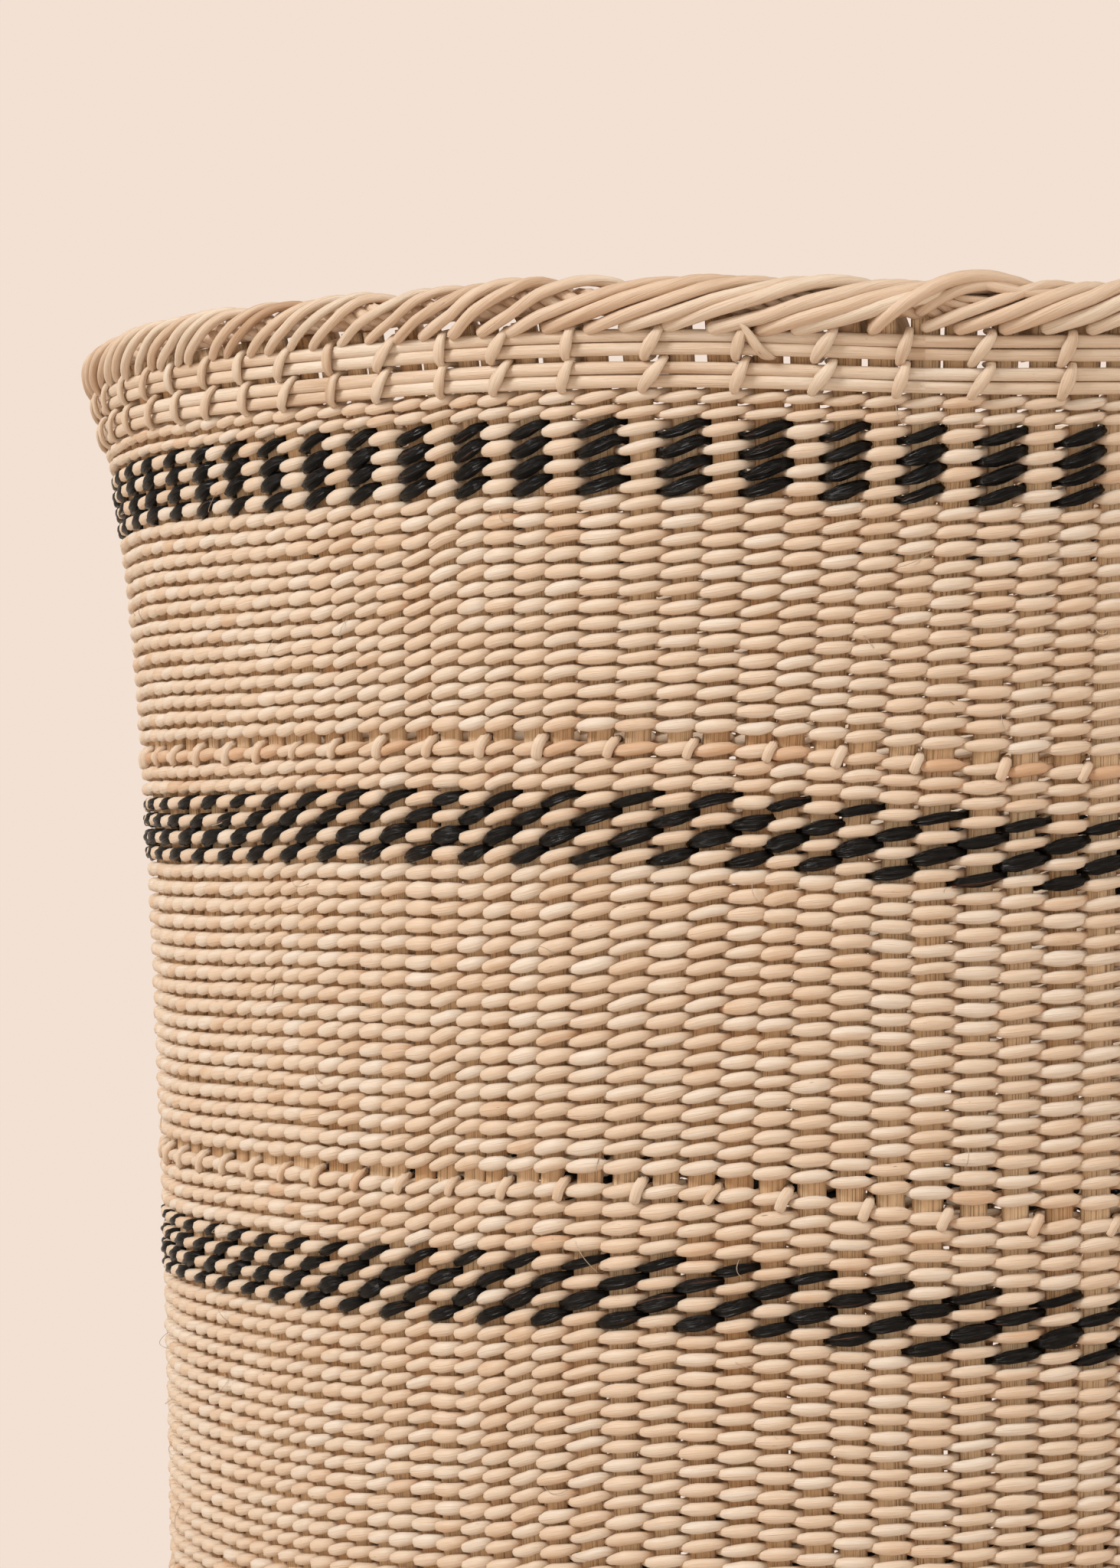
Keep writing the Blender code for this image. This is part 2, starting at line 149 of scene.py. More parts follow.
# A strand's wave over two stakes: degrees from the middle of its outer stitch (180 for a stake),
# then shares of the way out, of the stitch's rise and of its full height
FINE_STITCH_SHARES = (
    (-112, -0.36, -1, 0.99), (-92, 0.34, -0.98, 0.67), (-68, 0.83, -0.84, 0.8), (-36, 1, -0.46, 0.99),
    (0, 1.05, 0, 1.03), (36, 1.01, 0.46, 1.01), (68, 0.87, 0.84, 0.9), (92, 0.3, 0.98, 0.8),
    (112, -0.4, 1, 1.08), (144, -0.94, 0.6, 1.08), (180, -1.04, 0, 1.05), (216, -0.94, -0.6, 1.08),
)
PLAIN_STITCH_SHARES = (
    (-108, -0.18, -1, 0.82), (-82, 0.6, -0.92, 0.7), (-44, 1, -0.54, 0.96), (0, 1.05, 0, 1.03),
    (44, 1, 0.54, 0.99), (82, 0.6, 0.92, 0.81), (108, -0.3, 1, 0.95), (146, -0.94, 0.58, 1.08),
    (180, -1.04, 0, 1.05), (216, -0.94, -0.6, 1.08),
)
# How much slimmer the hidden crossings are where a gap above them shows them
OPEN_CROSSING_SHARE = 0.55
# How boxy a strand's section is: 0 is an ellipse
BOXY = 0.05
# A stitch's height as a share of a row, and sections where the stitches are smaller
STITCH_HEIGHT_SHARE = 0.742
STITCH_SIZE_SHARES = {"natural_weave_lower": 0.945, "foot_weave": 0.945}
# Half the thickness of a strand, and the room that it leaves to the stake
CANE_HALF = 1.28 * MM
BLACK_HALF = 1.45 * MM
SEAT_GAP = 0.05 * MM
# Rows above this depth are finer. Sides of a strand there, of one below, and of a black one
FINE_ROWS_END = 300 * MM
FINE_SIDES, PLAIN_SIDES, BLACK_SIDES = 8, 6, 24
# Ridges round a black strand, how deep they are, and their twist per stake
BLACK_RIDGES = 5
BLACK_RIDGE_DEPTH = 0.34
BLACK_TWIST = 0.35
# How unlike the stitches are
SLANT_SPREAD, HABIT_SPREAD = 0.15, 0.28
HEIGHT_SPREAD, WIDTH_SPREAD, TONE_SPREAD = 0.065, 0.02, 0.105
LIFT_SPREAD, PUSH_SPREAD, ROW_RIPPLE = 0.11 * MM, 0.1 * MM, 0.13 * MM
# Tones from 0, pale, to 1, deep: a stitch, its drift, its ends (darker where they dive between the stakes:
# painted shade, with some dirt), and new weft beside a stub
STITCH_TONE, TONE_DRIFT, TIP_SHADE_AND_DIRT_TONE, NEW_WEFT_TONE = 0.42, 0.13, 0.25, 0.55

rng = np.random.default_rng(20261130)


# Shape of the wall

def profile(t):
    """Radius, height and outward normal of the stakes' middle line, t metres down from the rim."""
    t = np.asarray(t, float)
    depth = np.minimum(t, WALL_DEPTH)
    flare = FLARE * np.exp(-depth / FLARE_DEPTH)
    bow = math.pi / WALL_DEPTH
    slope = -LEAN - flare / FLARE_DEPTH - WAIST * bow * np.cos(bow * depth)
    length = np.sqrt(1 + slope * slope)
    wall_nr = 1 / length
    wall_nz = slope / length
    wall_r = WALL_RADIUS - LEAN * depth + flare - WAIST * np.sin(bow * depth) - STAKE_LINE * wall_nr
    wall_z = HEIGHT - depth - STAKE_LINE * wall_nz

    turn = np.clip((t - WALL_DEPTH) / TURN_LINE, 0, math.pi / 2)
    inward = np.maximum(t - BASE_START, 0)
    low_r = BASE_RADIUS + TURN_LINE * np.cos(turn) - inward
    low_z = TURN_RADIUS - TURN_LINE * np.sin(turn)

    on_wall = t <= WALL_DEPTH
    radius = np.where(on_wall, wall_r, low_r)
    z = np.where(on_wall, wall_z, low_z)
    nr = np.where(on_wall, wall_nr, np.cos(turn))
    nz = np.where(on_wall, wall_nz, -np.sin(turn))
    return radius, z, nr, nz


def waves(table, angle, share):
    """The sum of a table's waves round the basket, in metres."""
    return MM * sum(high * np.sin(count * angle + phase + turn * share) for high, count, phase, turn in table)


def hand_made(angle, z):
    """How far the wall strays from a true round at a place, in metres."""
    share = np.clip(z / HEIGHT, 0, 1)
    return share * waves(WALL_WAVES, angle, share)


def from_front(angle):
    """Degrees to the right of the side that faces the camera, from -180 to 180."""
    return np.degrees(np.mod(angle - FRONT + math.pi, 2 * math.pi) - math.pi)


def read(table, where):
    """A table's value at a place, between its rows."""
    return np.interp(where, *np.array(table).T)


def bell(value, middle, width):
    return np.exp(-((value - middle) / width) ** 2)


def edge(value, middle, width):
    """From -1 to 1 across an edge."""
    return np.tanh((value - middle) / width)


def drift(angle, t):
    """How far a row lies above its even height, in metres. In front the rows sink towards the right."""
    degrees = from_front(angle)
    sink = ROW_SINK * edge(degrees, *SINK_STEP) * bell(degrees, *SINK_STRETCH) * read(SINK_SHARES, t)
    share = np.clip(t / WALL_DEPTH, 0, 1)
    return waves(ROW_WAVES, angle, share) * np.clip(4 * (1 - share), 0, 1) - sink


def place(angle, t, out, up):
    """Points at an angle, t down the wall, moved out of it and up along it."""
    radius, z, nr, nz = profile(t)
    reach = radius + out * nr - up * nz
    z = z + out * nz + up * nr
    reach = reach + hand_made(angle, z)
    return np.stack((reach * np.cos(angle), reach * np.sin(angle), z), -1)


def outward(angle, t):
    """Normals of the wall at an angle, t down it."""
    _, _, nr, nz = profile(t)
    nr = np.broadcast_to(nr, np.shape(angle))
    return np.stack((nr * np.cos(angle), nr * np.sin(angle), np.broadcast_to(nz, np.shape(angle))), -1)


# How stakes stray: each in itself and at nine depths, and in pairs. A slant for the stitches on each
KNOTS = np.linspace(0, BASE_START, 9)
JITTER = rng.normal(0, 0.038, (STAKES, 1)) + rng.normal(0, 0.03, (STAKES, len(KNOTS)))
PAIRING = np.where(np.arange(STAKES) % 2 == 0, 0.05, -0.05)
COLUMN_SLANT = rng.normal(0, 0.36, STAKES)
# Where stakes crowd to the right: middle and width in degrees, stakes
CROWDS = ((-60, 14, 0.75), (-23, 9, -0.55))
# How many stakes they lean left further down, up to which edge and round which middle in degrees
LEAN_STAKES, LEAN_END, LEAN_MIDDLE = 1.05, (4, 6), (-20, 70)
# From which depth, over which length, and how much longer left of an edge and shorter right of it
LEAN_TOP, LEAN_LENGTH, LEAN_MORE, MORE_END = 40 * MM, 145 * MM, 50 * MM, (-8, 4)
# Over which lengths this ends above the turn, and all straying above the base
CROWD_FADE, LEAN_FADE, STAKE_FADE = 120 * MM, 190 * MM, 60 * MM


def wander(angle, t):
    """How many stakes' breadths the stakes stand right of an even spacing: they crowd here and lean there."""
    degrees = from_front(angle)
    crowd = sum(size * bell(degrees, middle, width) for middle, width, size in CROWDS)
    lean = LEAN_STAKES * (0.5 - 0.5 * edge(degrees, *LEAN_END)) * bell(degrees, *LEAN_MIDDLE)
    length = LEAN_LENGTH - LEAN_MORE * edge(degrees, *MORE_END)
    way = np.clip((t - LEAN_TOP) / length, 0, 1) * np.clip((WALL_DEPTH - t) / LEAN_FADE, 0, 1)
    return crowd * np.clip((WALL_DEPTH - t) / CROWD_FADE, 0, 1) - lean * way


def stake_angles(t):
    """The angle of every stake at t, with the first one repeated at the end."""
    column = np.array([np.interp(t, KNOTS, row) for row in JITTER])
    fade = np.clip((BASE_START - t) / STAKE_FADE, 0, 1)
    even = FIRST_STAKE + np.arange(STAKES) * STEP
    angles = even + ((column + PAIRING) * fade + wander(even, t)) * STEP
    return np.append(angles, angles[0] + 2 * math.pi)


def angles_at(s, t):
    """Angle of fractional stake number s on the row at t."""
    table = stake_angles(t)
    turns = np.floor(s / STAKES)
    return np.interp(s - turns * STAKES, np.arange(STAKES + 1), table) + turns * 2 * math.pi


# Meshes from swept sections

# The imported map: room at the ends and sides of a strip, caps in it, and a strip's width for its strand
STRIP_END, STRIP_SIDE = 0.0018, 0.07
CAP_START, CAP_WIDTH = 0.0003, 0.0012
GIRTH_SHARE, GIRTH_ROOM = 2.6, 0.4 * MM
# The grain's map, in metres: size of a cap, and from where a strand's grain may start
CAP_GRAIN, GRAIN_START = 0.001, 50


def unit(vectors):
    return vectors / np.maximum(np.linalg.norm(vectors, axis=-1, keepdims=True), 1e-12)


class Bundle:
    """Tubes that become one mesh, with a metric map along and round each strand, a packed map and a tone."""

    def __init__(self):
        self.batches = []

    def add(self, points, normals, wide, thick, sides, closed, tone, spin=None):
        """Sweep sections along strands: points (strands, samples, 3), half widths in the same shape.

        With a spin the section has the ridges of black palm, turned by it.
        """
        strands, samples, _ = points.shape
        if closed:
            ahead = np.roll(points, -1, 1)
            behind = np.roll(points, 1, 1)
        else:
            ahead = np.concatenate((points[:, 1:], 2 * points[:, -1:] - points[:, -2:-1]), 1)
            behind = np.concatenate((2 * points[:, :1] - points[:, 1:2], points[:, :-1]), 1)
        along = unit(ahead - behind)
        across = unit(np.cross(along, normals))
        facing = unit(np.cross(across, along))
        turn = 2 * math.pi * np.arange(sides) / sides + math.pi
        shape = 1 + BOXY * np.sin(2 * turn) ** 2
        if spin is not None:
            wave = np.abs(np.sin(0.5 * BLACK_RIDGES * (turn + np.reshape(spin, (strands, samples, 1)))))
            shape = 1 - BLACK_RIDGE_DEPTH * (1 - wave ** 0.6)
        wide = np.broadcast_to(wide, (strands, samples))[..., None]
        thick = np.broadcast_to(thick, (strands, samples))[..., None]
        section_wide = (wide * np.cos(turn) * shape)[..., None]
        section_thick = (thick * np.sin(turn) * shape)[..., None]
        verts = points[:, :, None] + section_wide * across[:, :, None] + section_thick * facing[:, :, None]
        step = np.linalg.norm(ahead - points, axis=-1)
        if not closed:
            step[:, -1] = 0
        length = np.concatenate((np.zeros((strands, 1)), np.cumsum(step, 1)), 1)
        self.batches.append({
            "verts": verts, "closed": closed, "length": length,
            "girth": float(GIRTH_SHARE * (np.max(wide) + np.max(thick)) + GIRTH_ROOM),
            "tone": np.broadcast_to(tone, (strands, samples)).astype(np.float32),
        })

    def plan(self):
        """Segments of a strand, of a strip and strips of a strand in each batch, and the longest strip."""
        total = sum(float(b["length"][:, -1].sum()) for b in self.batches)
        strip = math.sqrt(total * max(b["girth"] for b in self.batches))
        plans, widest = [], 0.0
        for b in self.batches:
            length = b["length"]
            segments = length.shape[1] - (1 if b["closed"] else 2)
            per_strip = math.ceil(segments / max(1, math.ceil(float(length[:, segments].max()) / strip)))
            starts = np.arange(0, segments, per_strip)
            ends = np.minimum(starts + per_strip, segments)
            widest = max(widest, float((length[:, ends] - length[:, starts]).max()))
            plans.append((segments, per_strip, len(starts)))
        return plans, widest

    def build(self, name, material):
        """Join the tubes into one mesh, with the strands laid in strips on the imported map."""
        plans, widest = self.plan()
        strips = sum(len(b["verts"]) * plan[2] for b, plan in zip(self.batches, plans))
        faces, grain, packed, caps = [], [], [], []
        base = strip_base = 0
        for b, (segments, per_strip, pieces) in zip(self.batches, plans):
            strands, samples, sides, _ = b["verts"].shape
            strand, segment, side = np.meshgrid(
                np.arange(strands), np.arange(segments), np.arange(sides), indexing="ij")
            here = base + (strand * samples + segment) * sides
            ahead = base + (strand * samples + (segment + 1) % samples) * sides
            beside = (side + 1) % sides
            faces.append(np.stack((here + side, here + beside, ahead + beside, ahead + side), -1))
            start, end = b["length"][strand, segment], b["length"][strand, segment + 1]
            along = np.stack((start, start, end, end), -1)
            low, high = side / sides, (side + 1) / sides
            around = np.stack((low, high, high, low), -1)
            shift = rng.random((strands, 1, 1, 1)) * GRAIN_START
            grain.append(np.stack((along + shift, around), -1).reshape(-1, 2))
            which = segment // per_strip
            origin = b["length"][strand, which * per_strip]
            row = strip_base + strand * pieces + which
            u = STRIP_END + (along - origin[..., None]) / widest * (1 - 2 * STRIP_END)
            v = (row[..., None] + STRIP_SIDE + around * (1 - 2 * STRIP_SIDE)) / strips
            packed.append(np.stack((u, v), -1).reshape(-1, 2))
            if not b["closed"]:
                ring = base + np.arange(strands)[:, None] * samples * sides + np.arange(sides)
                rows = strip_base + np.arange(strands) * pieces
                caps.append((ring[:, ::-1], rows))
                caps.append((ring + (samples - 1) * sides, rows + pieces - 1))
            base += strands * samples * sides
            strip_base += strands * pieces
        verts = np.concatenate([b["verts"].reshape(-1, 3) for b in self.batches])
        tones = np.concatenate([np.repeat(b["tone"].reshape(-1), b["verts"].shape[2]) for b in self.batches])
        loops = [quads.reshape(-1) for quads in faces]
        totals = [np.full(quads.size // 4, 4) for quads in faces]
        for ring, rows in caps:
            count, sides = ring.shape
            loops.append(ring.reshape(-1))
            totals.append(np.full(count, sides))
            turn = 2 * math.pi * np.arange(sides) / sides
            disc = np.stack((np.cos(turn), np.sin(turn)), -1)
            grain.append(np.tile(CAP_GRAIN * disc, (count, 1)) + 0.5)
            x, y = (0.5 + 0.4 * disc).T
            u = np.broadcast_to(CAP_START + CAP_WIDTH * x, (count, sides))
            packed.append(np.stack((u, (rows[:, None] + y) / strips), -1).reshape(-1, 2))
        return make_mesh(name, material, verts, tones, loops, totals, (("OFBake", packed), ("Grain", grain)))


def make_mesh(name, material, verts, tones, loops, totals, maps):
    """A mesh object from its vertices, faces, maps and the tone at each vertex."""
    mesh = bpy.data.meshes.new(name)
    mesh.vertices.add(len(verts))
    mesh.vertices.foreach_set("co", verts.astype(np.float32).reshape(-1))
    loops = np.concatenate(loops).astype(np.int32)
    mesh.loops.add(len(loops))
    mesh.loops.foreach_set("vertex_index", loops)
    totals = np.concatenate(totals).astype(np.int32)
    mesh.polygons.add(len(totals))
    mesh.polygons.foreach_set("loop_start", (np.cumsum(totals) - totals).astype(np.int32))
    mesh.polygons.foreach_set("loop_total", totals)
    mesh.polygons.foreach_set("use_smooth", np.ones(len(totals), bool))
    for map_name, values in maps:
        values = np.concatenate(values).astype(np.float32).reshape(-1)
        mesh.uv_layers.new(name=map_name).data.foreach_set("uv", values)
    mesh.attributes.new("tone", "FLOAT", "POINT").data.foreach_set("value", tones)
    mesh.update(calc_edges=True)
    mesh.validate()
    piece = bpy.data.objects.new(name, mesh)
    bpy.context.collection.objects.link(piece)
    piece.data.materials.append(material)
    return piece


# Materials

class Nodes:
    """Short names for building the nodes of a material or a world."""

    def __init__(self, owner):
        self.owner = owner
        owner.use_nodes = True
        self.tree = owner.node_tree

    def new(self, kind, inputs, **values):
        """The outputs of a new node with its inputs and properties set."""
        node = self.tree.nodes.new("ShaderNode" + kind)
        for key, value in values.items():
            setattr(node, key, value)
        self.put(node, inputs)
        return node.outputs

    def put(self, node, inputs):
        """Set inputs to a number or a colour, or link them to another node."""
        for key, value in inputs.items():
            if isinstance(value, bpy.types.NodeSocket):
                self.tree.links.new(value, node.inputs[key])
            else:
                node.inputs[key].default_value = (*value, 1.0) if isinstance(value, tuple) else value

    def math(self, operation, first, second=0.0):
        return self.new("Math", {0: first, 1: second}, operation=operation)[0]

    def mix(self, factor, first, second):
        return self.new("Mix", {0: factor, 6: first, 7: second}, data_type="RGBA")[2]

    def ramp(self, source, low, high):
        """0 at low to 1 at high."""
        return self.new("MapRange", {0: source, 1: low, 2: high}, interpolation_type="SMOOTHSTEP")[0]

    def grain(self, along, around, detail=2.0, roughness=0.5):
        """Noise without a seam: features per metre along the strand, and how many round it."""
        uv = self.new("UVMap", {}, uv_map="Grain")
        split = self.new("SeparateXYZ", {0: uv[0]})
        angle = self.math("MULTIPLY", split[1], 2 * math.pi)
        join = self.new("CombineXYZ", {
            0: self.math("MULTIPLY", split[0], along),
            1: self.math("MULTIPLY", self.math("COSINE", angle), around),
            2: self.math("MULTIPLY", self.math("SINE", angle), around)})
        return self.new("TexNoise", {"Vector": join[0], "Scale": 1.0, "Detail": detail,
                                     "Roughness": roughness})[0]

    def add(self, first, first_share, second, second_share):
        """The sum of two values, each times its share."""
        return self.math("ADD", self.math("MULTIPLY", first, first_share),
                         self.math("MULTIPLY", second, second_share))

    def tone(self):
        return self.new("Attribute", {}, attribute_name="tone")["Fac"]

    def over(self, colour, other, source, low, high, share):
        """Lay another colour over a colour where source rises from low to high."""
        return self.mix(self.math("MULTIPLY", self.ramp(source, low, high), share), colour, other)

    def finish(self, colour, rough, gloss, height, depth):
        """Set the material's colour, roughness, gloss and bump."""
        bump = self.new("Bump", {"Strength": 1.0, "Distance": depth, "Height": height})
        self.put(self.tree.nodes["Principled BSDF"], {
            "Base Color": colour, "Roughness": rough, "Specular IOR Level": gloss, "Normal": bump[0]})
        return self.owner


def cane_material(name, pale, mid, deep, blemish, streak=0.35, rough=0.5):
    """Split cane: pale to deep along the strand, with fibres, pores and a few dark marks."""
    n = Nodes(bpy.data.materials.new(name))
    tone = n.tone()
    slow = n.grain(38, 0.6, 3.0)
    fibre = n.grain(60, 5.5, 3.0, 0.6)
    spots = n.grain(420, 3.0)
    pores = n.grain(260, 9.0)
    # On the wall's stitches the tone also carries painted shade, with some dirt, at the ends that dive
    # between the stakes
    where = n.add(tone, 0.75, slow, 0.8)
    colour = n.mix(n.ramp(where, 0.45, 0.82), pale, mid)
    colour = n.mix(n.ramp(where, 0.82, 1.2), colour, deep)
    colour = n.over(colour, deep, fibre, 0.5, 0.75, streak)
    colour = n.over(colour, deep, pores, 0.52, 0.72, 0.22)
    marks = n.math("MULTIPLY", n.ramp(spots, 0.7, 0.78), n.ramp(slow, 0.48, 0.62))
    colour = n.mix(n.math("MULTIPLY", marks, 0.7), colour, blemish)
    return n.finish(colour, rough, 0.5, n.add(fibre, 1.0, pores, 0.4), 0.2 * MM)


def stake_material():
    """Stakes of split palm: brown, with dark lines along them and finer pale ones."""
    n = Nodes(bpy.data.materials.new("stake"))
    tone = n.tone()
    slow = n.grain(9, 0.5, 3.0)
    fibre = n.grain(14, 9.0, 4.0, 0.7)
    fine = n.grain(45, 22.0)
    where = n.add(tone, 0.7, slow, 0.5)
    colour = n.mix(n.ramp(where, 0.25, 0.6), (0.96, 0.73, 0.48), (0.88, 0.635, 0.395))
    colour = n.mix(n.ramp(where, 0.6, 0.95), colour, (0.72, 0.455, 0.245))
    colour = n.over(colour, (0.27, 0.14, 0.06), fibre, 0.51, 0.6, 0.72)
    colour = n.over(colour, (0.76, 0.58, 0.38), fine, 0.52, 0.72, 0.35)
    return n.finish(colour, 0.62, 0.35, n.add(fibre, 1.0, fine, 0.6), 0.3 * MM)


def black_material():
    """Dyed palm: glossy black fibres, with a few brown patches where the dye is worn."""
    n = Nodes(bpy.data.materials.new("black_palm"))
    fibre = n.grain(50, 5.0, 3.0, 0.6)
    slow = n.grain(60, 0.9)
    patch = n.math("MULTIPLY", n.ramp(slow, 0.64, 0.72), n.ramp(fibre, 0.48, 0.6))
    colour = n.mix(n.ramp(fibre, 0.45, 0.8), (0.0011, 0.0009, 0.0009), (0.0045, 0.0034, 0.003))
    colour = n.mix(n.math("MULTIPLY", patch, 0.8), colour, (0.2, 0.085, 0.045))
    return n.finish(colour, 0.18, 0.24, fibre, 0.7 * MM)


# Pale, middle and deep colour of each cane, and the colour of its blemishes
CANE = cane_material("cane", (0.785, 0.695, 0.59), (0.745, 0.59, 0.445), (0.64, 0.405, 0.245),
                     (0.2, 0.11, 0.07), streak=0.5)
HOOP = cane_material("hoop_cane", (0.81, 0.71, 0.595), (0.755, 0.605, 0.46), (0.52, 0.34, 0.21),
                     (0.18, 0.1, 0.06), streak=0.6)
BORDER = cane_material("border_cane", (0.79, 0.665, 0.53), (0.715, 0.54, 0.395), (0.5, 0.315, 0.19),
                       (0.16, 0.085, 0.05), streak=0.6)
BARK = cane_material("bark", (0.2, 0.12, 0.08), (0.12, 0.07, 0.045), (0.06, 0.035, 0.025),
                     (0.03, 0.02, 0.015))
STAKE = stake_material()
BLACK = black_material()


# Twined rows

def wave_samples(stitch, spokes, offset):
    """Stake numbers of a strand's samples all round, and the shares at each."""
    shares = np.array(stitch)
    s = 2 * np.arange(spokes // 2)[:, None] + offset + shares[:, 0] / 180
    return s.reshape(-1), np.tile(shares[:, 1:], (spokes // 2, 1)).T


def by_stitch(values, s, spokes):
    """Values given per stake, read at fractional stake numbers."""
    s = np.mod(s, spokes)
    return np.interp(s, np.arange(spokes + 1), np.append(values, values[0]))


def stitch_slants(t, step, spokes):
    """How steep the stitches on each stake are, against the even slant."""
    column = np.arange(spokes)
    habit = HABIT_SPREAD * (-1.0) ** column * np.cos(0.045 * step * column + t / (45 * MM))
    habit += COLUMN_SLANT[::step][:spokes] * np.cos(t / (22 * MM) + 1.7 * column)
    return rng.normal(1, SLANT_SPREAD, spokes) + habit


def stitch_rise(angle, s, slant, black, tilt):
    """How far a stitch's end lies above its middle, as a share of a row. Black ones differ less."""
    steep = read(SLANT_SHARES, from_front(angle))
    if black:
        steep = np.sqrt(0.85 * steep)
        slant = 1 + 0.6 * (slant - 1)
    return tilt * steep * by_stitch(slant, s, len(slant))


def twist_row(bundles, t, pitch, fine=False, step=1, first=0, fat=(1.0, 1.0), kinds=("cane", "cane"),
              tilt=SLANT["natural"], pink=False, open_gap=False):
    """Two strands twined round the stakes. bundles maps a kind of strand to its bundle."""
    spokes = STAKES // step
    slant = stitch_slants(t, step, spokes)
    lift = rng.normal(0, LIFT_SPREAD, spokes)
    phase = 6.3 * rng.random()
    for offset in (0, 1):
        black = kinds[offset] == "black"
        stitch = FINE_STITCH_SHARES if fine else PLAIN_STITCH_SHARES
        s, (way_out, climb, body) = wave_samples(stitch, spokes, offset)
        height = rng.normal(1, HEIGHT_SPREAD, spokes) - 0.14 * (slant - 1)
        push = rng.normal(0, PUSH_SPREAD, spokes)
        half_thick = BLACK_HALF if black else CANE_HALF
        reach = STAKE_THICK / 2 + half_thick + SEAT_GAP + by_stitch(push, s, spokes)
        angle = angles_at(s * step + first, t)
        rise = pitch * stitch_rise(angle, s, slant, black, tilt if black else SLANT["natural"])
        up = rise * climb + by_stitch(lift, s, spokes) + ROW_RIPPLE * np.sin(7 * angle + phase)
        if open_gap:
            body = np.where(np.abs(way_out) < 0.5, OPEN_CROSSING_SHARE * body, body)
        if black:
            body = body ** 1.4
        wide = 0.5 * STITCH_HEIGHT_SHARE * pitch * body * by_stitch(height, s, spokes) * fat[offset]
        wide = wide * rng.normal(1, WIDTH_SPREAD, len(s))
        thick = half_thick * (0.85 + 0.15 * body) * np.sqrt(fat[offset])
        points = place(angle, t, reach * way_out, up + drift(angle, t))[None]
        own_tone = by_stitch(rng.normal(0, TONE_SPREAD, spokes), s, spokes)
        tone = STITCH_TONE + TONE_DRIFT * np.sin(s * step * 0.055 + phase + offset * 2.1) + own_tone
        # Stitch ends darker where they dive between the stakes: painted shade, with some dirt
        tone = tone + TIP_SHADE_AND_DIRT_TONE * (np.abs(climb) > 0.9) + NEW_WEFT_TONE * (pink and offset == 1)
        sides = BLACK_SIDES if black else FINE_SIDES if fine else PLAIN_SIDES
        spin = BLACK_TWIST * s if black else None
        bundles[kinds[offset]].add(points, outward(angle, t)[None], wide, thick, sides, True, tone, spin)


def finish_piece(bundle, name, material, slot, *nodes):
    """Build a piece, tie it to the body and let it stand for its solids."""
    piece = bundle.build(name, material)
    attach(piece, "root")
    if nodes:
        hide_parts(*nodes)


STUB_PATH = (
    # stakes right of the gap's middle, millimetres out, share of a row up
    (0.05, -0.8, 0.52), (0.06, 0.8, 0.55), (0.06, 2.3, 0.46), (0.01, 3.1, 0.26),
    (-0.05, 3.3, 0), (-0.1, 3.2, -0.28), (-0.13, 3.1, -0.46), (-0.14, 3, -0.5),
)
STUB_HALF_WIDTHS = (1.0, 1.1, 1.2, 1.25, 1.25, 1.25, 1.15, 0.75)
STUB_PLACE = -0.56


def add_stubs(bundle, t, pitch, first):
    """Cut strand ends that hang out of every second gap between stakes."""
    count = STAKES // 2
    lean = rng.normal(1, 0.15, (count, 1))
    size = rng.normal(1, 0.08, (count, 1))
    path = np.array(STUB_PATH)
    wide = np.array(STUB_HALF_WIDTHS) * MM * size
    s = 2 * np.arange(count)[:, None] + first + STUB_PLACE + path[:, 0] * lean
    angle = angles_at(s + rng.normal(0, 0.03, (count, 1)), t)
    out = path[:, 1] * MM * np.ones((count, 1))
    up = path[:, 2] * pitch * size + drift(angle, t)
    points = place(angle, t, out, up)
    tone = rng.normal(0.55, 0.1, (count, 1))
    bundle.add(points, outward(angle, t), wide, wide * 0.85, 8, False, tone)


def row_depths(top, name, rows, pitch, kind):
    """Depth of each row's middle, and the row of stubs, which has more room above it."""
    gaps = np.ones(rows)
    stub = rows - 1 - STUB_ROWS_ABOVE_BAND.get(name, 0)
    room = STUB_GAP if kind == "stubs" else 0
    gaps[stub] += room
    gaps *= rows / gaps.sum()
    bottoms = top + np.cumsum(gaps) * pitch
    return bottoms - 0.5 * pitch * rows / (rows + room), stub


def wall_row(bundles, name, kind, row, stub, depth, pitch, first):
    """One row of the wall, of a black band or of plain weave."""
    fine = depth < FINE_ROWS_END
    if kind in BAND_FATNESS:
        dark = first if kind == "columns" else (first + row) % 2
        kinds, fat = ["cane", "cane"], [BAND_CANE_FATNESS, BAND_CANE_FATNESS]
        kinds[dark], fat[dark] = "black", BAND_FATNESS[kind][row]
        twist_row(bundles, depth, pitch, fine, fat=fat, kinds=kinds, tilt=SLANT[kind])
        return
    size = STITCH_SIZE_SHARES.get(name, 1.0)
    pink = name == "natural_weave_upper" and row == stub
    open_gap = kind == "stubs" and row in (stub - 1, stub)
    twist_row(bundles, depth, pitch, fine, fat=(size, size), pink=pink, open_gap=open_gap)
    if kind == "stubs" and row == stub:
        add_stubs(bundles["cane"], depth, pitch, first)


def build_wall():
    top = WEAVE_TOP
    for name, rows, pitch, kind, per_piece, first in WALL_SECTIONS:
        depths, stub = row_depths(top, name, rows, pitch, kind)
        band = kind in BAND_FATNESS
        bundles = {"cane": Bundle(), "black": Bundle()}
        nodes = [] if band else [name]
        if kind == "stubs":
            nodes.append(name.replace("natural", "inner"))
        part = 0
        for row, depth in enumerate(depths):
            wall_row(bundles, name, kind, row, stub, depth, pitch, first)
            if (row + 1) % per_piece == 0 or row == rows - 1:
                part += 1
                suffix = "" if rows <= per_piece else f"_{part}"
                finish_piece(bundles["cane"], f"{name}_cane{suffix}", CANE, "cane", *nodes)
                bundles["cane"] = Bundle()
                nodes = []
        if band:
            finish_piece(bundles["black"], f"{name}_palm", BLACK, "black_palm", name)
        top += rows * pitch


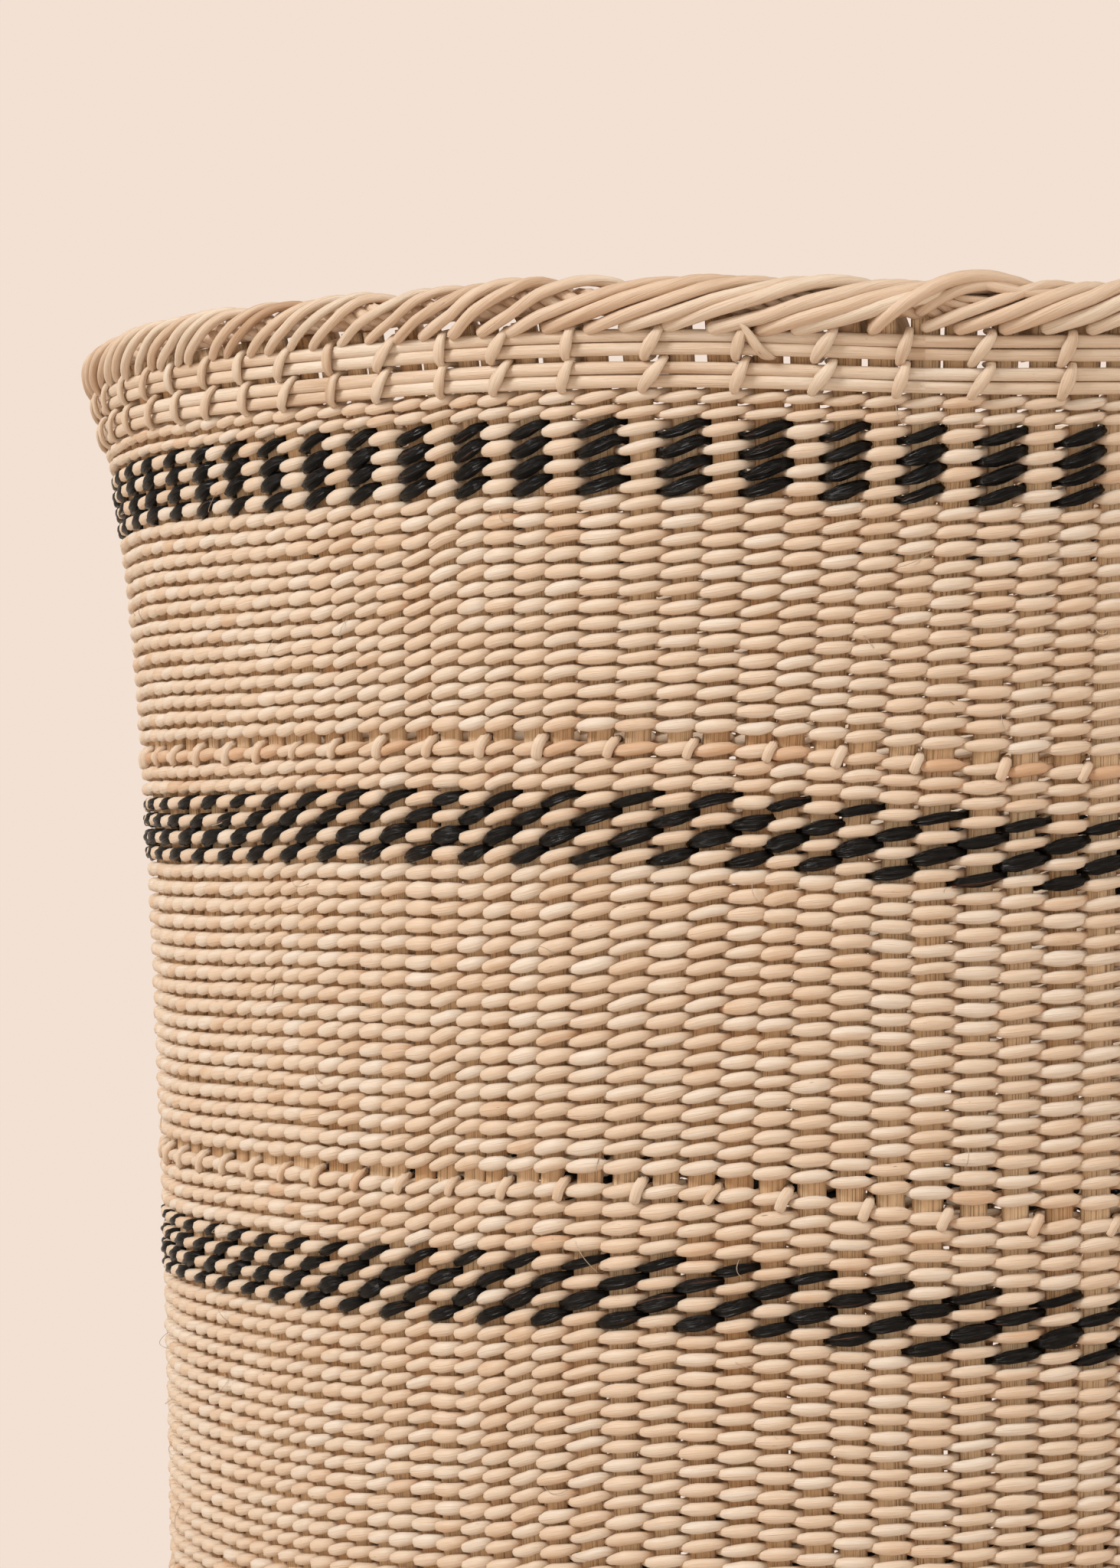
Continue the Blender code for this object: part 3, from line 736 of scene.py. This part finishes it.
def build_base():
    bundle = Bundle()
    for row in range(TURN_ROWS):
        twist_row({"cane": bundle}, WALL_DEPTH + (row + 0.5) * TURN_LENGTH / TURN_ROWS, BASE_PITCH)
    finish_piece(bundle, "base_turn_cane", CANE, "cane", "base_turn_outer", "base_turn_inner")
    rows = []
    for outer, inner, step, first in BASE_ZONES:
        count = round((outer - inner) / BASE_PITCH)
        rows += [(outer - (row + 0.5) * (outer - inner) / count, step, first) for row in range(count)]
    nodes = ("base_weave_outer", "base_weave_inner")
    for part, (start, end) in enumerate(BASE_PARTS, 1):
        bundle = Bundle()
        for radius, step, first in rows[start:end]:
            t = BASE_START + BASE_RADIUS - radius
            twist_row({"cane": bundle}, t, BASE_PITCH, step=step, first=first)
        finish_piece(bundle, f"base_cane_{part}", CANE, "cane", *nodes)
        nodes = ()


# Stakes

def stake_heights(last):
    """Places along a stake, from under the border to last."""
    return np.concatenate((
        np.linspace(STAKE_TOP, 60 * MM, 12), np.linspace(66 * MM, WALL_DEPTH, 34)[:-1],
        np.linspace(WALL_DEPTH, BASE_START, 9)[:-1], np.linspace(BASE_START, last, 12)))


def stakes_in_layer(centre, group):
    """The stakes of a group out of four whose layer points at centre or away from it."""
    return [i for i in range(group, STAKES, 4)
            if abs(math.cos(FIRST_STAKE + i * STEP - centre)) >= math.cos(math.pi / 4)]


def stake_points(numbers, t):
    angle = np.stack([stake_angles(x)[numbers] for x in t], 1)
    nowhere = np.zeros_like(angle)
    return place(angle, t, nowhere, nowhere), outward(angle, t)


def uneven(strands, samples, spread):
    """Widths and tones of stakes: each its own, and a little uneven along it."""
    width = rng.normal(1, spread, (strands, 1)) + rng.normal(0, 0.02, (strands, samples))
    tone = rng.random((strands, 1)) + rng.normal(0, 0.03, (strands, samples))
    return width, tone


def add_short_stakes(bundle, centre):
    """The stakes that end in the base."""
    for group, end in STAKE_ENDS.items():
        numbers = stakes_in_layer(centre, group)
        t = stake_heights(BASE_START + BASE_RADIUS - end)
        points, normals = stake_points(numbers, t)
        room = profile(t)[0] * STEP * np.where(t < BASE_START + BASE_RADIUS - THINNED_RADIUS, 1, 2)
        half = np.minimum(STAKE_WIDTH / 2, ROOM_SHARE * room)
        width, tone = uneven(len(numbers), len(t), 0.06)
        bundle.add(points, normals, half * width, STAKE_THICK / 2, 10, False, tone)


def hub_crossings(rows, centre, other_count, start_over):
    """Paths of the stakes over and under each other through the hub."""
    reach = (other_count + 0.2) * HUB_PITCH / 2
    along = reach * (1 - 2 * np.linspace(0, 1, 12 * other_count))
    direction = np.array((math.cos(centre), math.sin(centre), 0.0))
    aside = np.array((-math.sin(centre), math.cos(centre), 0.0))
    wave = np.cos(math.pi * (along / HUB_PITCH + (other_count - 1) / 2))
    crossings = []
    for row in range(rows):
        offset = (row - (rows - 1) / 2) * HUB_PITCH
        height = STAKE_LINE + (HUB_THICK / 2 + HUB_GAP) * wave * (-1) ** (row + start_over)
        level = along[:, None] * direction + offset * aside
        crossings.append(level + height[:, None] * np.array((0, 0, 1.0)))
    return np.array(crossings)


def add_long_stakes(bundle, centre, other_count, start_over):
    """The stakes that cross the hub and climb the wall on both sides, woven over and under in the hub."""
    numbers = stakes_in_layer(centre, THROUGH_HUB)

    def sideways(number):
        return math.sin(FIRST_STAKE + number * STEP - centre)

    ahead = sorted((i for i in numbers if math.cos(FIRST_STAKE + i * STEP - centre) > 0), key=sideways)
    behind = sorted((i for i in numbers if i not in ahead), key=sideways)
    t = stake_heights(BASE_START + BASE_RADIUS - HUB_START)
    near, near_normals = stake_points(ahead, t)
    far, far_normals = stake_points(behind, t)
    crossings = hub_crossings(len(ahead), centre, other_count, start_over)
    points = np.concatenate((near, crossings, far[:, ::-1]), 1)
    middle = np.broadcast_to((0.0, 0.0, -1.0), crossings.shape)
    normals = np.concatenate((near_normals, middle, far_normals[:, ::-1]), 1)
    half = np.full(points.shape[1], STAKE_WIDTH / 2)
    thick = np.full(points.shape[1], STAKE_THICK / 2)
    inside = slice(len(t), len(t) + crossings.shape[1])
    half[inside] = HUB_WIDTH / 2
    thick[inside] = HUB_THICK / 2
    width, tone = uneven(len(ahead), points.shape[1], 0.05)
    bundle.add(points, normals, half * width, thick, 10, False, tone)


def build_stakes():
    east_west, north_south = 0.0, math.pi / 2
    for name, centre, other, start_over in (("stakes_east_west", east_west, north_south, 0),
                                            ("stakes_north_south", north_south, east_west, 1)):
        bundle = Bundle()
        add_short_stakes(bundle, centre)
        add_long_stakes(bundle, centre, len(stakes_in_layer(other, THROUGH_HUB)) // 2, start_over)
        finish_piece(bundle, f"{name}_cane", STAKE, "stake", name)


# Hoops and lashings

# A hoop: samples, place from its pair's middle and the stakes' line, half height and half thickness
HOOP_SAMPLES = 456
HOOP_UP, HOOP_OUT = 1.47 * MM, 2.53 * MM
HOOP_HALF_HEIGHT, HOOP_HALF_THICK = 1.52 * MM, 1.3 * MM


def build_hoops():
    s = np.linspace(0, STAKES, HOOP_SAMPLES, endpoint=False)
    for pair, depth in HOOP_PAIRS:
        for place_name, side in (("top", 1), ("bottom", -1)):
            bundle = Bundle()
            angle = angles_at(s, depth)
            up = side * HOOP_UP + drift(angle, depth) + 0.1 * MM * np.sin(angle * 13 + side)
            out = HOOP_OUT + 0.15 * MM * np.sin(angle * 17 + 2 * side + depth * 900)
            points = place(angle, depth, out, up)[None]
            size = 1.0 + 0.05 * np.sin(angle * 5 + side) + 0.03 * np.sin(angle * 23 + depth * 1000)
            tone = 0.5 + 0.3 * np.sin(angle * 9 + side + depth * 500) * np.sin(angle * 4 + 2 * side)
            bundle.add(points, outward(angle, depth)[None], HOOP_HALF_HEIGHT * size, HOOP_HALF_THICK * size,
                       10, True, tone)
            name = f"{pair}_pair_{place_name}_hoop"
            finish_piece(bundle, f"{name}_cane", HOOP, "hoop_cane", name)


def spline(p0, p1, p2, p3, f):
    """Catmull-Rom curve from p1 to p2, read at shares f of the way."""
    return 0.5 * (2 * p1 + (p2 - p0) * f + (2 * p0 - 5 * p1 + 4 * p2 - p3) * f ** 2
                  + (3 * p1 - p0 - 3 * p2 + p3) * f ** 3)


def open_curve(keys, shares):
    """Smooth curve through key points, read at shares from 0 to 1."""
    keys = np.asarray(keys, float)
    padded = np.vstack((2 * keys[0] - keys[1], keys, 2 * keys[-1] - keys[-2]))
    position = np.asarray(shares) * (len(keys) - 1)
    index = np.minimum(position.astype(int), len(keys) - 2)
    return spline(*(padded[index + k] for k in range(4)), (position - index)[:, None])


LASHING_TURN = (
    # stakes to the right, millimetres out, millimetres up from the pair's middle
    (1.37, 0.1, -3.5), (1.34, 2.7, -3.8), (1.38, 4.4, -2.5), (1.5, 4.9, 0), (1.62, 4.4, 2.5),
    (1.66, 2.7, 3.8), (1.63, 0.1, 3.5), (1.85, -1.8, 2.4), (2.5, -1.9, 0), (3.15, -1.8, -2.4),
)
LASHING_SLANTS = (1.55, 0.75)
# How far left the lower lashing stands, in stakes, and the middle that a lashing faces away from
LOWER_LASHING_LEFT = 0.06
LASHING_CORE_OUT = 1.3 * MM
# Half its width, how much wider it is in front and over which height, and half its thickness
LASHING_HALF, LASHING_LEAF, LASHING_LEAF_HEIGHT = 1.05 * MM, 0.65 * MM, 2.8 * MM
LASHING_HALF_THICK = 0.72 * MM
TIE_HALF, TIE_LEAF = 1.35 * MM, 0.6 * MM
# A tie that crosses the upper pair the other way: stakes from the front, millimetres out and below the rim
EXTRA_TIE = (
    (-4.58, 0.2, 9.4), (-4.5, 2.8, 10.2), (-4.36, 4.6, 12.0), (-4.2, 5.0, 14.6),
    (-4.04, 4.6, 17.2), (-3.92, 2.6, 18.5), (-3.88, 0.4, 18.2),
)


def lashing_curve(sag):
    """A closed path that winds round a pair of hoops: stakes, millimetres out, millimetres up."""
    turns = []
    for turn in range(STAKES // 2):
        keys = np.array(LASHING_TURN)
        middle = keys[3, 0]
        slant = LASHING_SLANTS[turn % 2] * rng.normal(1, 0.15)
        keys[1:6, 0] = middle + (keys[1:6, 0] - middle) * slant
        keys[:, 0] += 2 * turn + rng.normal(0, 0.04) - sag
        turns.append(keys)
    keys = np.concatenate(turns)
    round_once = np.array((STAKES, 0, 0))
    closing = np.vstack((keys[-1] - round_once, keys, keys[0] + round_once, keys[1] + round_once))
    f = np.array((0.0, 0.5))[None, :, None]
    return spline(*(closing[k:k + len(keys)][:, None] for k in range(4)), f).reshape(-1, 3)


def build_lashings():
    for pair, depth in HOOP_PAIRS:
        bundle = Bundle()
        curve = lashing_curve(LOWER_LASHING_LEFT if pair == "lower" else 0.0)
        s, out, up = curve[:, 0], curve[:, 1] * MM, curve[:, 2] * MM
        angle = angles_at(s, depth)
        points = place(angle, depth, out, up + drift(angle, depth))
        core = place(angle, depth, 0 * out + LASHING_CORE_OUT, 0.25 * up + drift(angle, depth))
        size = 1 + 0.07 * np.sin(s * 3.1) + 0.05 * np.sin(s * 7.7)
        leaf = LASHING_HALF + LASHING_LEAF * np.exp(-(up / LASHING_LEAF_HEIGHT) ** 2) * (out > 0)
        tone = 0.55 + 0.25 * np.sin(s * 1.7 + 1.0) * np.sin(s * 0.31)
        bundle.add(points[None], unit(points - core)[None], leaf * size, LASHING_HALF_THICK * size,
                   8, True, tone)
        if pair == "upper":
            half = TIE_HALF + TIE_LEAF * np.sin(np.linspace(0, math.pi, 16))
            add_at_rim(bundle, EXTRA_TIE, len(half), half, LASHING_HALF_THICK, 8, 0.55)
        name = f"{pair}_lashing"
        finish_piece(bundle, f"{name}_cane", HOOP, "hoop_cane", name)


# Border

BORDER_PATH = (
    # stakes to the right, millimetres out of the stakes' line, millimetres below the rim
    (0, 2.6, 12.1), (0.35, 3.5, 11.1), (1, 4.3, 9.1), (1.8, 4.4, 6.7), (2.6, 3.8, 4.4),
    (3.4, 2.4, 2.6), (4.1, 0.2, 1.7), (4.7, -2, 2.2), (5.2, -3.6, 4), (5.6, -4.2, 6.8),
    (5.95, -4, 10.5), (6.15, -3.4, 14.5), (6.25, -2.8, 18.5),
)
# How far each strand runs to the right, against that path: stakes right of the front, share
BORDER_REACH_SHARES = (
    (-76, 0.8), (-40, 0.66), (-13, 0.62), (-9, 0.88), (-4, 1.03), (-2, 1.03), (0, 0.74), (8, 0.78),
    (16, 0.85), (76, 0.8),
)
# Half widths of the strands: stakes right of the front, millimetres
BORDER_HALF_WIDTHS = (
    (-76, 1.3), (-46, 1.2), (-30, 1.12), (-15, 1.22), (-10, 1.6), (-4, 1.75), (8, 1.6), (20, 1.45), (76, 1.3),
)
# Strands inside the roll: millimetres, and how many stakes they pass in one turn round each other
CORE_STRANDS = 4
CORE_STAKES_PER_TURN = 2.5
CORE_RADIUS = 1.9
CORE_OUT = -0.3
CORE_DEPTH = 6.2
CORE_HALF = 1.35 * MM
# How much higher the strands' cut ends lie: stakes right of the front, millimetres
BORDER_START_LIFTS = ((-3, 0.0), (0, 1.3), (2, 1.3), (8, 0.4), (76, 0.0))
# Left of this stake the border is so many times rougher
ROUGH_END, ROUGH_SHARE = -8, 1.5
# Stakes that have no strand of their own at the splice: one is cut short, one is the thick strand
NO_BORDER_STRAND = (STAKES - 2, STAKES - 1)

# Strands of the splice: half width in millimetres, then the path as above, with stake numbers
SPLICE_STRANDS = (
    (1.6, ((-1.3, 3.2, 12), (-1.05, 4.2, 9.6), (-0.67, 5, 6.4), (-0.17, 4.8, 3), (0.38, 4, 0.5),
           (1.01, 2.7, -0.9), (1.57, 1.2, -0.8), (2.06, -0.4, 0.4), (2.57, -2.2, 2.2), (3.1, -3.8, 5),
           (3.4, -4.4, 9), (3.6, -4, 13))),
    (1.3, ((-0.2, 2.2, 7.6), (0.08, 3.2, 5.8), (0.45, 3.6, 3.7), (0.88, 3.3, 2), (1.43, 2.2, 1),
           (1.95, 0.7, 1.4), (2.4, -1, 2.9), (2.8, -2.6, 5.6), (3, -3.2, 9))),
    (1.15, ((0.95, 0.9, 0.2), (1.35, 1.9, 0.6), (1.8, 2.5, 1.5), (2.3, 2.6, 2.4), (2.8, 2, 2.9),
            (3.2, 0.8, 3))),
    (0.9, ((0.1, 1.6, 3.6), (0.45, 2.6, 4.4), (0.85, 3.1, 5.2), (1.2, 2.6, 5.6))),
    (0.8, ((0.55, 1.2, 2.8), (0.85, 2.6, 3.7), (1.2, 3.2, 4), (1.6, 2.6, 4.4))),
)
# The stake that was cut short there, and the fibres at its end. Halves are of a width and a thickness
CUT_STAKE = ((-2.0, 0.3, 13.5), (-2.0, 0.5, 11.0), (-2.0, 0.9, 8.5), (-2.0, 1.1, 7.0))
CUT_HALVES = (2.4 * MM, 1.1 * MM)
END_FIBRES = 14
END_FIBRE_HALVES = (0.16 * MM, 0.14 * MM)
# Depth that the border is placed from, and how far above it lies the middle that its strands face away from
RIM_LEVEL = 6 * MM
RIM_CORE_UP = 0.6 * MM


def rim_points(curve):
    """Points of a path beside the rim, and the directions away from the border's middle."""
    angle = angles_at(curve[:, 0], 0.0)
    shift = drift(angle, RIM_LEVEL)
    points = place(angle, RIM_LEVEL, curve[:, 1] * MM, RIM_LEVEL - curve[:, 2] * MM + shift)
    core = place(angle, RIM_LEVEL, 0 * angle, RIM_CORE_UP + shift)
    return points[None], unit(points - core)[None]


def add_at_rim(bundle, keys, samples, half, thick, sides, tone):
    """A strand beside the rim, through key points."""
    curve = open_curve(keys, np.linspace(0, 1, samples))
    bundle.add(*rim_points(curve), half, thick, sides, False, tone)


def add_core(bundle):
    """Ends of the strands, laid round each other inside the roll and running all round."""
    turns = round(STAKES / CORE_STAKES_PER_TURN)
    s = np.linspace(0, STAKES, 10 * turns, endpoint=False)
    for strand in range(CORE_STRANDS):
        turn = 2 * math.pi * (s * turns / STAKES + strand / CORE_STRANDS)
        radius = CORE_RADIUS * (1 + 0.12 * np.sin(0.9 * s + 2 * strand))
        curve = np.stack((s, CORE_OUT + radius * np.sin(turn), CORE_DEPTH - radius * np.cos(turn)), -1)
        points, normals = rim_points(curve)
        half = CORE_HALF * (1 + 0.08 * np.sin(1.7 * s + strand))
        bundle.add(points, normals, half, half, 8, True, 0.6 + 0.2 * np.sin(0.4 * s + strand))


def border_strand(number, base, shares):
    """Path, half widths and tone of the strand that starts on a stake."""
    from_middle = (number + STAKES / 2) % STAKES - STAKES / 2
    rough = ROUGH_SHARE if from_middle < ROUGH_END else 1.0
    reach = read(BORDER_REACH_SHARES, from_middle) * rng.normal(1, 0.035 * rough)
    curve = base.copy()
    curve[:, 2] -= read(BORDER_START_LIFTS, from_middle) * np.clip(1 - shares / 0.35, 0, 1)
    curve[:, 0] = number - 0.15 + curve[:, 0] * reach + rng.normal(0, 0.07 * rough)
    curve[:, 1] += rng.normal(0, 0.14 * rough) + 0.15 * np.sin(6 * shares + rng.random() * 6)
    curve[:, 2] += rng.normal(0, 0.2) + 0.2 * np.sin(5 * shares + rng.random() * 6)
    blunt = np.clip(0.62 + shares / 0.05, 0, 1) * (1 - 0.3 * np.clip(shares - 0.8, 0, 1) / 0.2)
    half = read(BORDER_HALF_WIDTHS, from_middle) * MM * rng.normal(1, 0.06) * blunt
    tone = np.clip(0.45 + rng.normal(0, 0.2) + 0.1 * np.sin(5 * shares + rng.random() * 6), 0, 1.2)
    return curve, half, tone


def build_border():
    bundle = Bundle()
    shares = np.linspace(0, 1, 34)
    base = open_curve(BORDER_PATH, shares)
    inside = 1 + 0.8 * np.clip((shares - 0.5) / 0.2, 0, 1)
    for number in range(STAKES):
        curve, half, tone = border_strand(number, base, shares)
        if number not in NO_BORDER_STRAND:
            bundle.add(*rim_points(curve), half * inside, half * 0.94, 10, False, tone)
    add_core(bundle)
    finish_piece(bundle, "border_roll_cane", BORDER, "cane", "border_roll")


def build_splice():
    """Where the border was closed: a thick strand thrown over it and the ends tucked in beside it."""
    bundle = Bundle()
    shares = np.linspace(0, 1, 30)
    for half_width, keys in SPLICE_STRANDS:
        half = half_width * MM * np.clip(0.6 + shares / 0.05, 0, 1) * np.clip(0.6 + (1 - shares) / 0.05, 0, 1)
        tone = 0.4 + 0.1 * half_width
        add_at_rim(bundle, keys, len(shares), half, half * 0.93, 10, tone)
    add_at_rim(bundle, CUT_STAKE, len(shares), *CUT_HALVES, 10, 1.1)
    for number in range(END_FIBRES):
        side = 0.026 * (number - (END_FIBRES - 1) / 2)
        top = 6.7 - 1.4 * rng.random()
        keys = ((side - 2.0, 0.8 + 0.5 * rng.random(), 8.5), (side - 2.0 + rng.normal(0, 0.03), 1.4, 7.3),
                (side - 2.0 + rng.normal(0, 0.06), 1.7, top))
        add_at_rim(bundle, keys, 5, *END_FIBRE_HALVES, 4, 1.0)
    finish_piece(bundle, "border_splice_cane", BORDER, "cane", "border_splice")


# Loose hairs: how many, how deep, how long
HAIRS, HAIR_SAMPLES = 260, 9
HAIR_DEPTHS = (26 * MM, 430 * MM)
HAIR_LENGTHS = (3 * MM, 9 * MM)
HAIR_HALVES = (0.09 * MM, 0.08 * MM)
# Crumbs of bark: how many, and from where to where in stakes, millimetres out and below the rim
CRUMBS = 40
CRUMB_PLACES = ((-4.3, -3.3), (1.2, 3.0), (10.4, 12.0))
CRUMB_HALVES = (0.22 * MM, 0.15 * MM)


def build_fibres():
    """Fine hairs that came off the canes and stand out of the weave."""
    bundle = Bundle()
    steps = np.linspace(0, 1, HAIR_SAMPLES)
    for angle, t in zip(rng.uniform(-math.pi, math.pi, HAIRS), rng.uniform(*HAIR_DEPTHS, HAIRS)):
        piece = rng.uniform(*HAIR_LENGTHS) / (HAIR_SAMPLES - 1)
        heading = rng.uniform(-math.pi, math.pi)
        bend = (heading + rng.normal(0, 1.3) * steps)[1:]
        aside = np.append(0, np.cumsum(np.cos(bend))) * piece / profile(t)[0]
        up = np.append(0, np.cumsum(np.sin(bend))) * piece
        out = (2.6 + rng.uniform(1.0, 3.0) * np.sin(math.pi * steps * rng.uniform(0.5, 1.0))) * MM
        points = place(angle + aside, t, out, up + drift(angle, t))[None]
        normals = outward(angle + aside, t)[None]
        bundle.add(points, normals, *HAIR_HALVES, 4, False, rng.uniform(0.2, 0.9))
    finish_piece(bundle, "loose_fibres_cane", CANE, "cane")


def build_crumbs():
    """Dark crumbs of bark caught between the border and the hoops."""
    bundle = Bundle()
    for _ in range(CRUMBS):
        start = np.array([rng.uniform(low, high) for low, high in CRUMB_PLACES])
        bend = rng.normal(0, 1, 3) * (0.02, 0.2, 0.25)
        end = rng.normal(0, 1, 3) * (0.05, 0.5, 0.4)
        add_at_rim(bundle, (start, start + bend, start + end), 4, *CRUMB_HALVES, 5, 1.2)
    finish_piece(bundle, "bark_crumbs_cane", BARK, "cane")


for build in (build_wall, build_base, build_stakes, build_hoops, build_lashings, build_border,
              build_splice, build_fibres, build_crumbs):
    build()


# Floor, light and camera

BACKDROP = (0.896, 0.752, 0.651)
# The floor, how far it lies under the basket, and from where to where it turns into the backdrop
FLOOR_COLOUR = (0.75, 0.665, 0.6)
FLOOR_SIZE = 8.0
FLOOR_DROP = 0.5 * MM
FLOOR_FADE = (0.42, 0.85)
# Light from all round, then each lamp: name, place, size, watts, colour
AMBIENT, AMBIENT_STRENGTH = (1.0, 0.845, 0.695), 0.52
LAMPS = (
    ("key", (-1.95, -1.25, 2.05), 0.9, 57.5, (1.0, 0.99, 0.975)),
    ("fill", (1.9, -1.3, 1.2), 1.6, 19.0, (1.0, 0.975, 0.95)),
)
LAMP_TARGET = Vector((0.0, 0.0, 0.3))


def floor_material():
    """A pale floor round the basket that turns into the backdrop further off."""
    n = Nodes(bpy.data.materials.new("floor"))
    shader = n.tree.nodes["Principled BSDF"]
    n.put(shader, {"Base Color": FLOOR_COLOUR, "Roughness": 0.85, "Specular IOR Level": 0.1})
    where = n.new("TexCoord", {})
    distance = n.new("VectorMath", {0: where["Object"]}, operation="LENGTH")
    far = n.ramp(distance["Value"], *FLOOR_FADE)
    path = n.new("LightPath", {})
    glow = n.new("Emission", {"Color": BACKDROP})
    mixer = n.new("MixShader", {0: n.math("MULTIPLY", far, path["Is Camera Ray"]),
                                1: shader.outputs[0], 2: glow[0]})
    n.put(n.tree.nodes["Material Output"], {0: mixer[0]})
    return n.owner


bpy.ops.mesh.primitive_plane_add(size=FLOOR_SIZE, location=(0.0, 0.0, -FLOOR_DROP))
floor = bpy.context.object
floor.name = "floor"
floor.data.materials.append(floor_material())

world = Nodes(bpy.data.worlds.new("studio"))
bpy.context.scene.world = world.owner
world.tree.nodes.clear()
path = world.new("LightPath", {})
ambient = world.new("Background", {"Color": AMBIENT, "Strength": AMBIENT_STRENGTH})
backdrop = world.new("Background", {"Color": BACKDROP})
mixer = world.new("MixShader", {0: path["Is Camera Ray"], 1: ambient[0], 2: backdrop[0]})
world.new("OutputWorld", {0: mixer[0]})

for lamp, location, size, energy, colour in LAMPS:
    data = bpy.data.lights.new(lamp, "AREA")
    data.size = size
    data.energy = energy
    data.color = colour
    light = bpy.data.objects.new(lamp, data)
    light.location = location
    light.rotation_euler = (LAMP_TARGET - Vector(location)).to_track_quat("-Z", "Y").to_euler()
    bpy.context.collection.objects.link(light)

# Camera: image 1463 x 2048, calibrated on the rim, the bands and the left edge
FOCAL_PX = 6350.0
LONG_SIDE_PX = 2048.0
CENTRE_PX = (731.5, 1024.0)
AXIS_PX = 1215.0
HORIZON_PX = 1042.8
ROLL = math.radians(0.5)
DISTANCE = 1314 * MM
EYE_BELOW_RIM = 117.2 * MM
SENSOR = 36.0
camera_data = bpy.data.cameras.new("camera")
camera_data.lens = FOCAL_PX / LONG_SIDE_PX * SENSOR
camera_data.sensor_width = SENSOR
camera_data.sensor_fit = "AUTO"
camera = bpy.data.objects.new("camera", camera_data)
camera.location = (0.0, -DISTANCE, HEIGHT - EYE_BELOW_RIM)
yaw = math.atan((AXIS_PX - CENTRE_PX[0]) / FOCAL_PX)
pitch = math.atan((CENTRE_PX[1] - HORIZON_PX) / FOCAL_PX)
direction = Vector((-math.sin(yaw) * math.cos(pitch), math.cos(yaw) * math.cos(pitch), -math.sin(pitch)))
level = direction.to_track_quat("-Z", "Y")
camera.rotation_euler = (Quaternion(direction, -ROLL) @ level).to_euler()
bpy.context.collection.objects.link(camera)
bpy.context.scene.camera = camera

bpy.context.scene.view_settings.view_transform = "Standard"
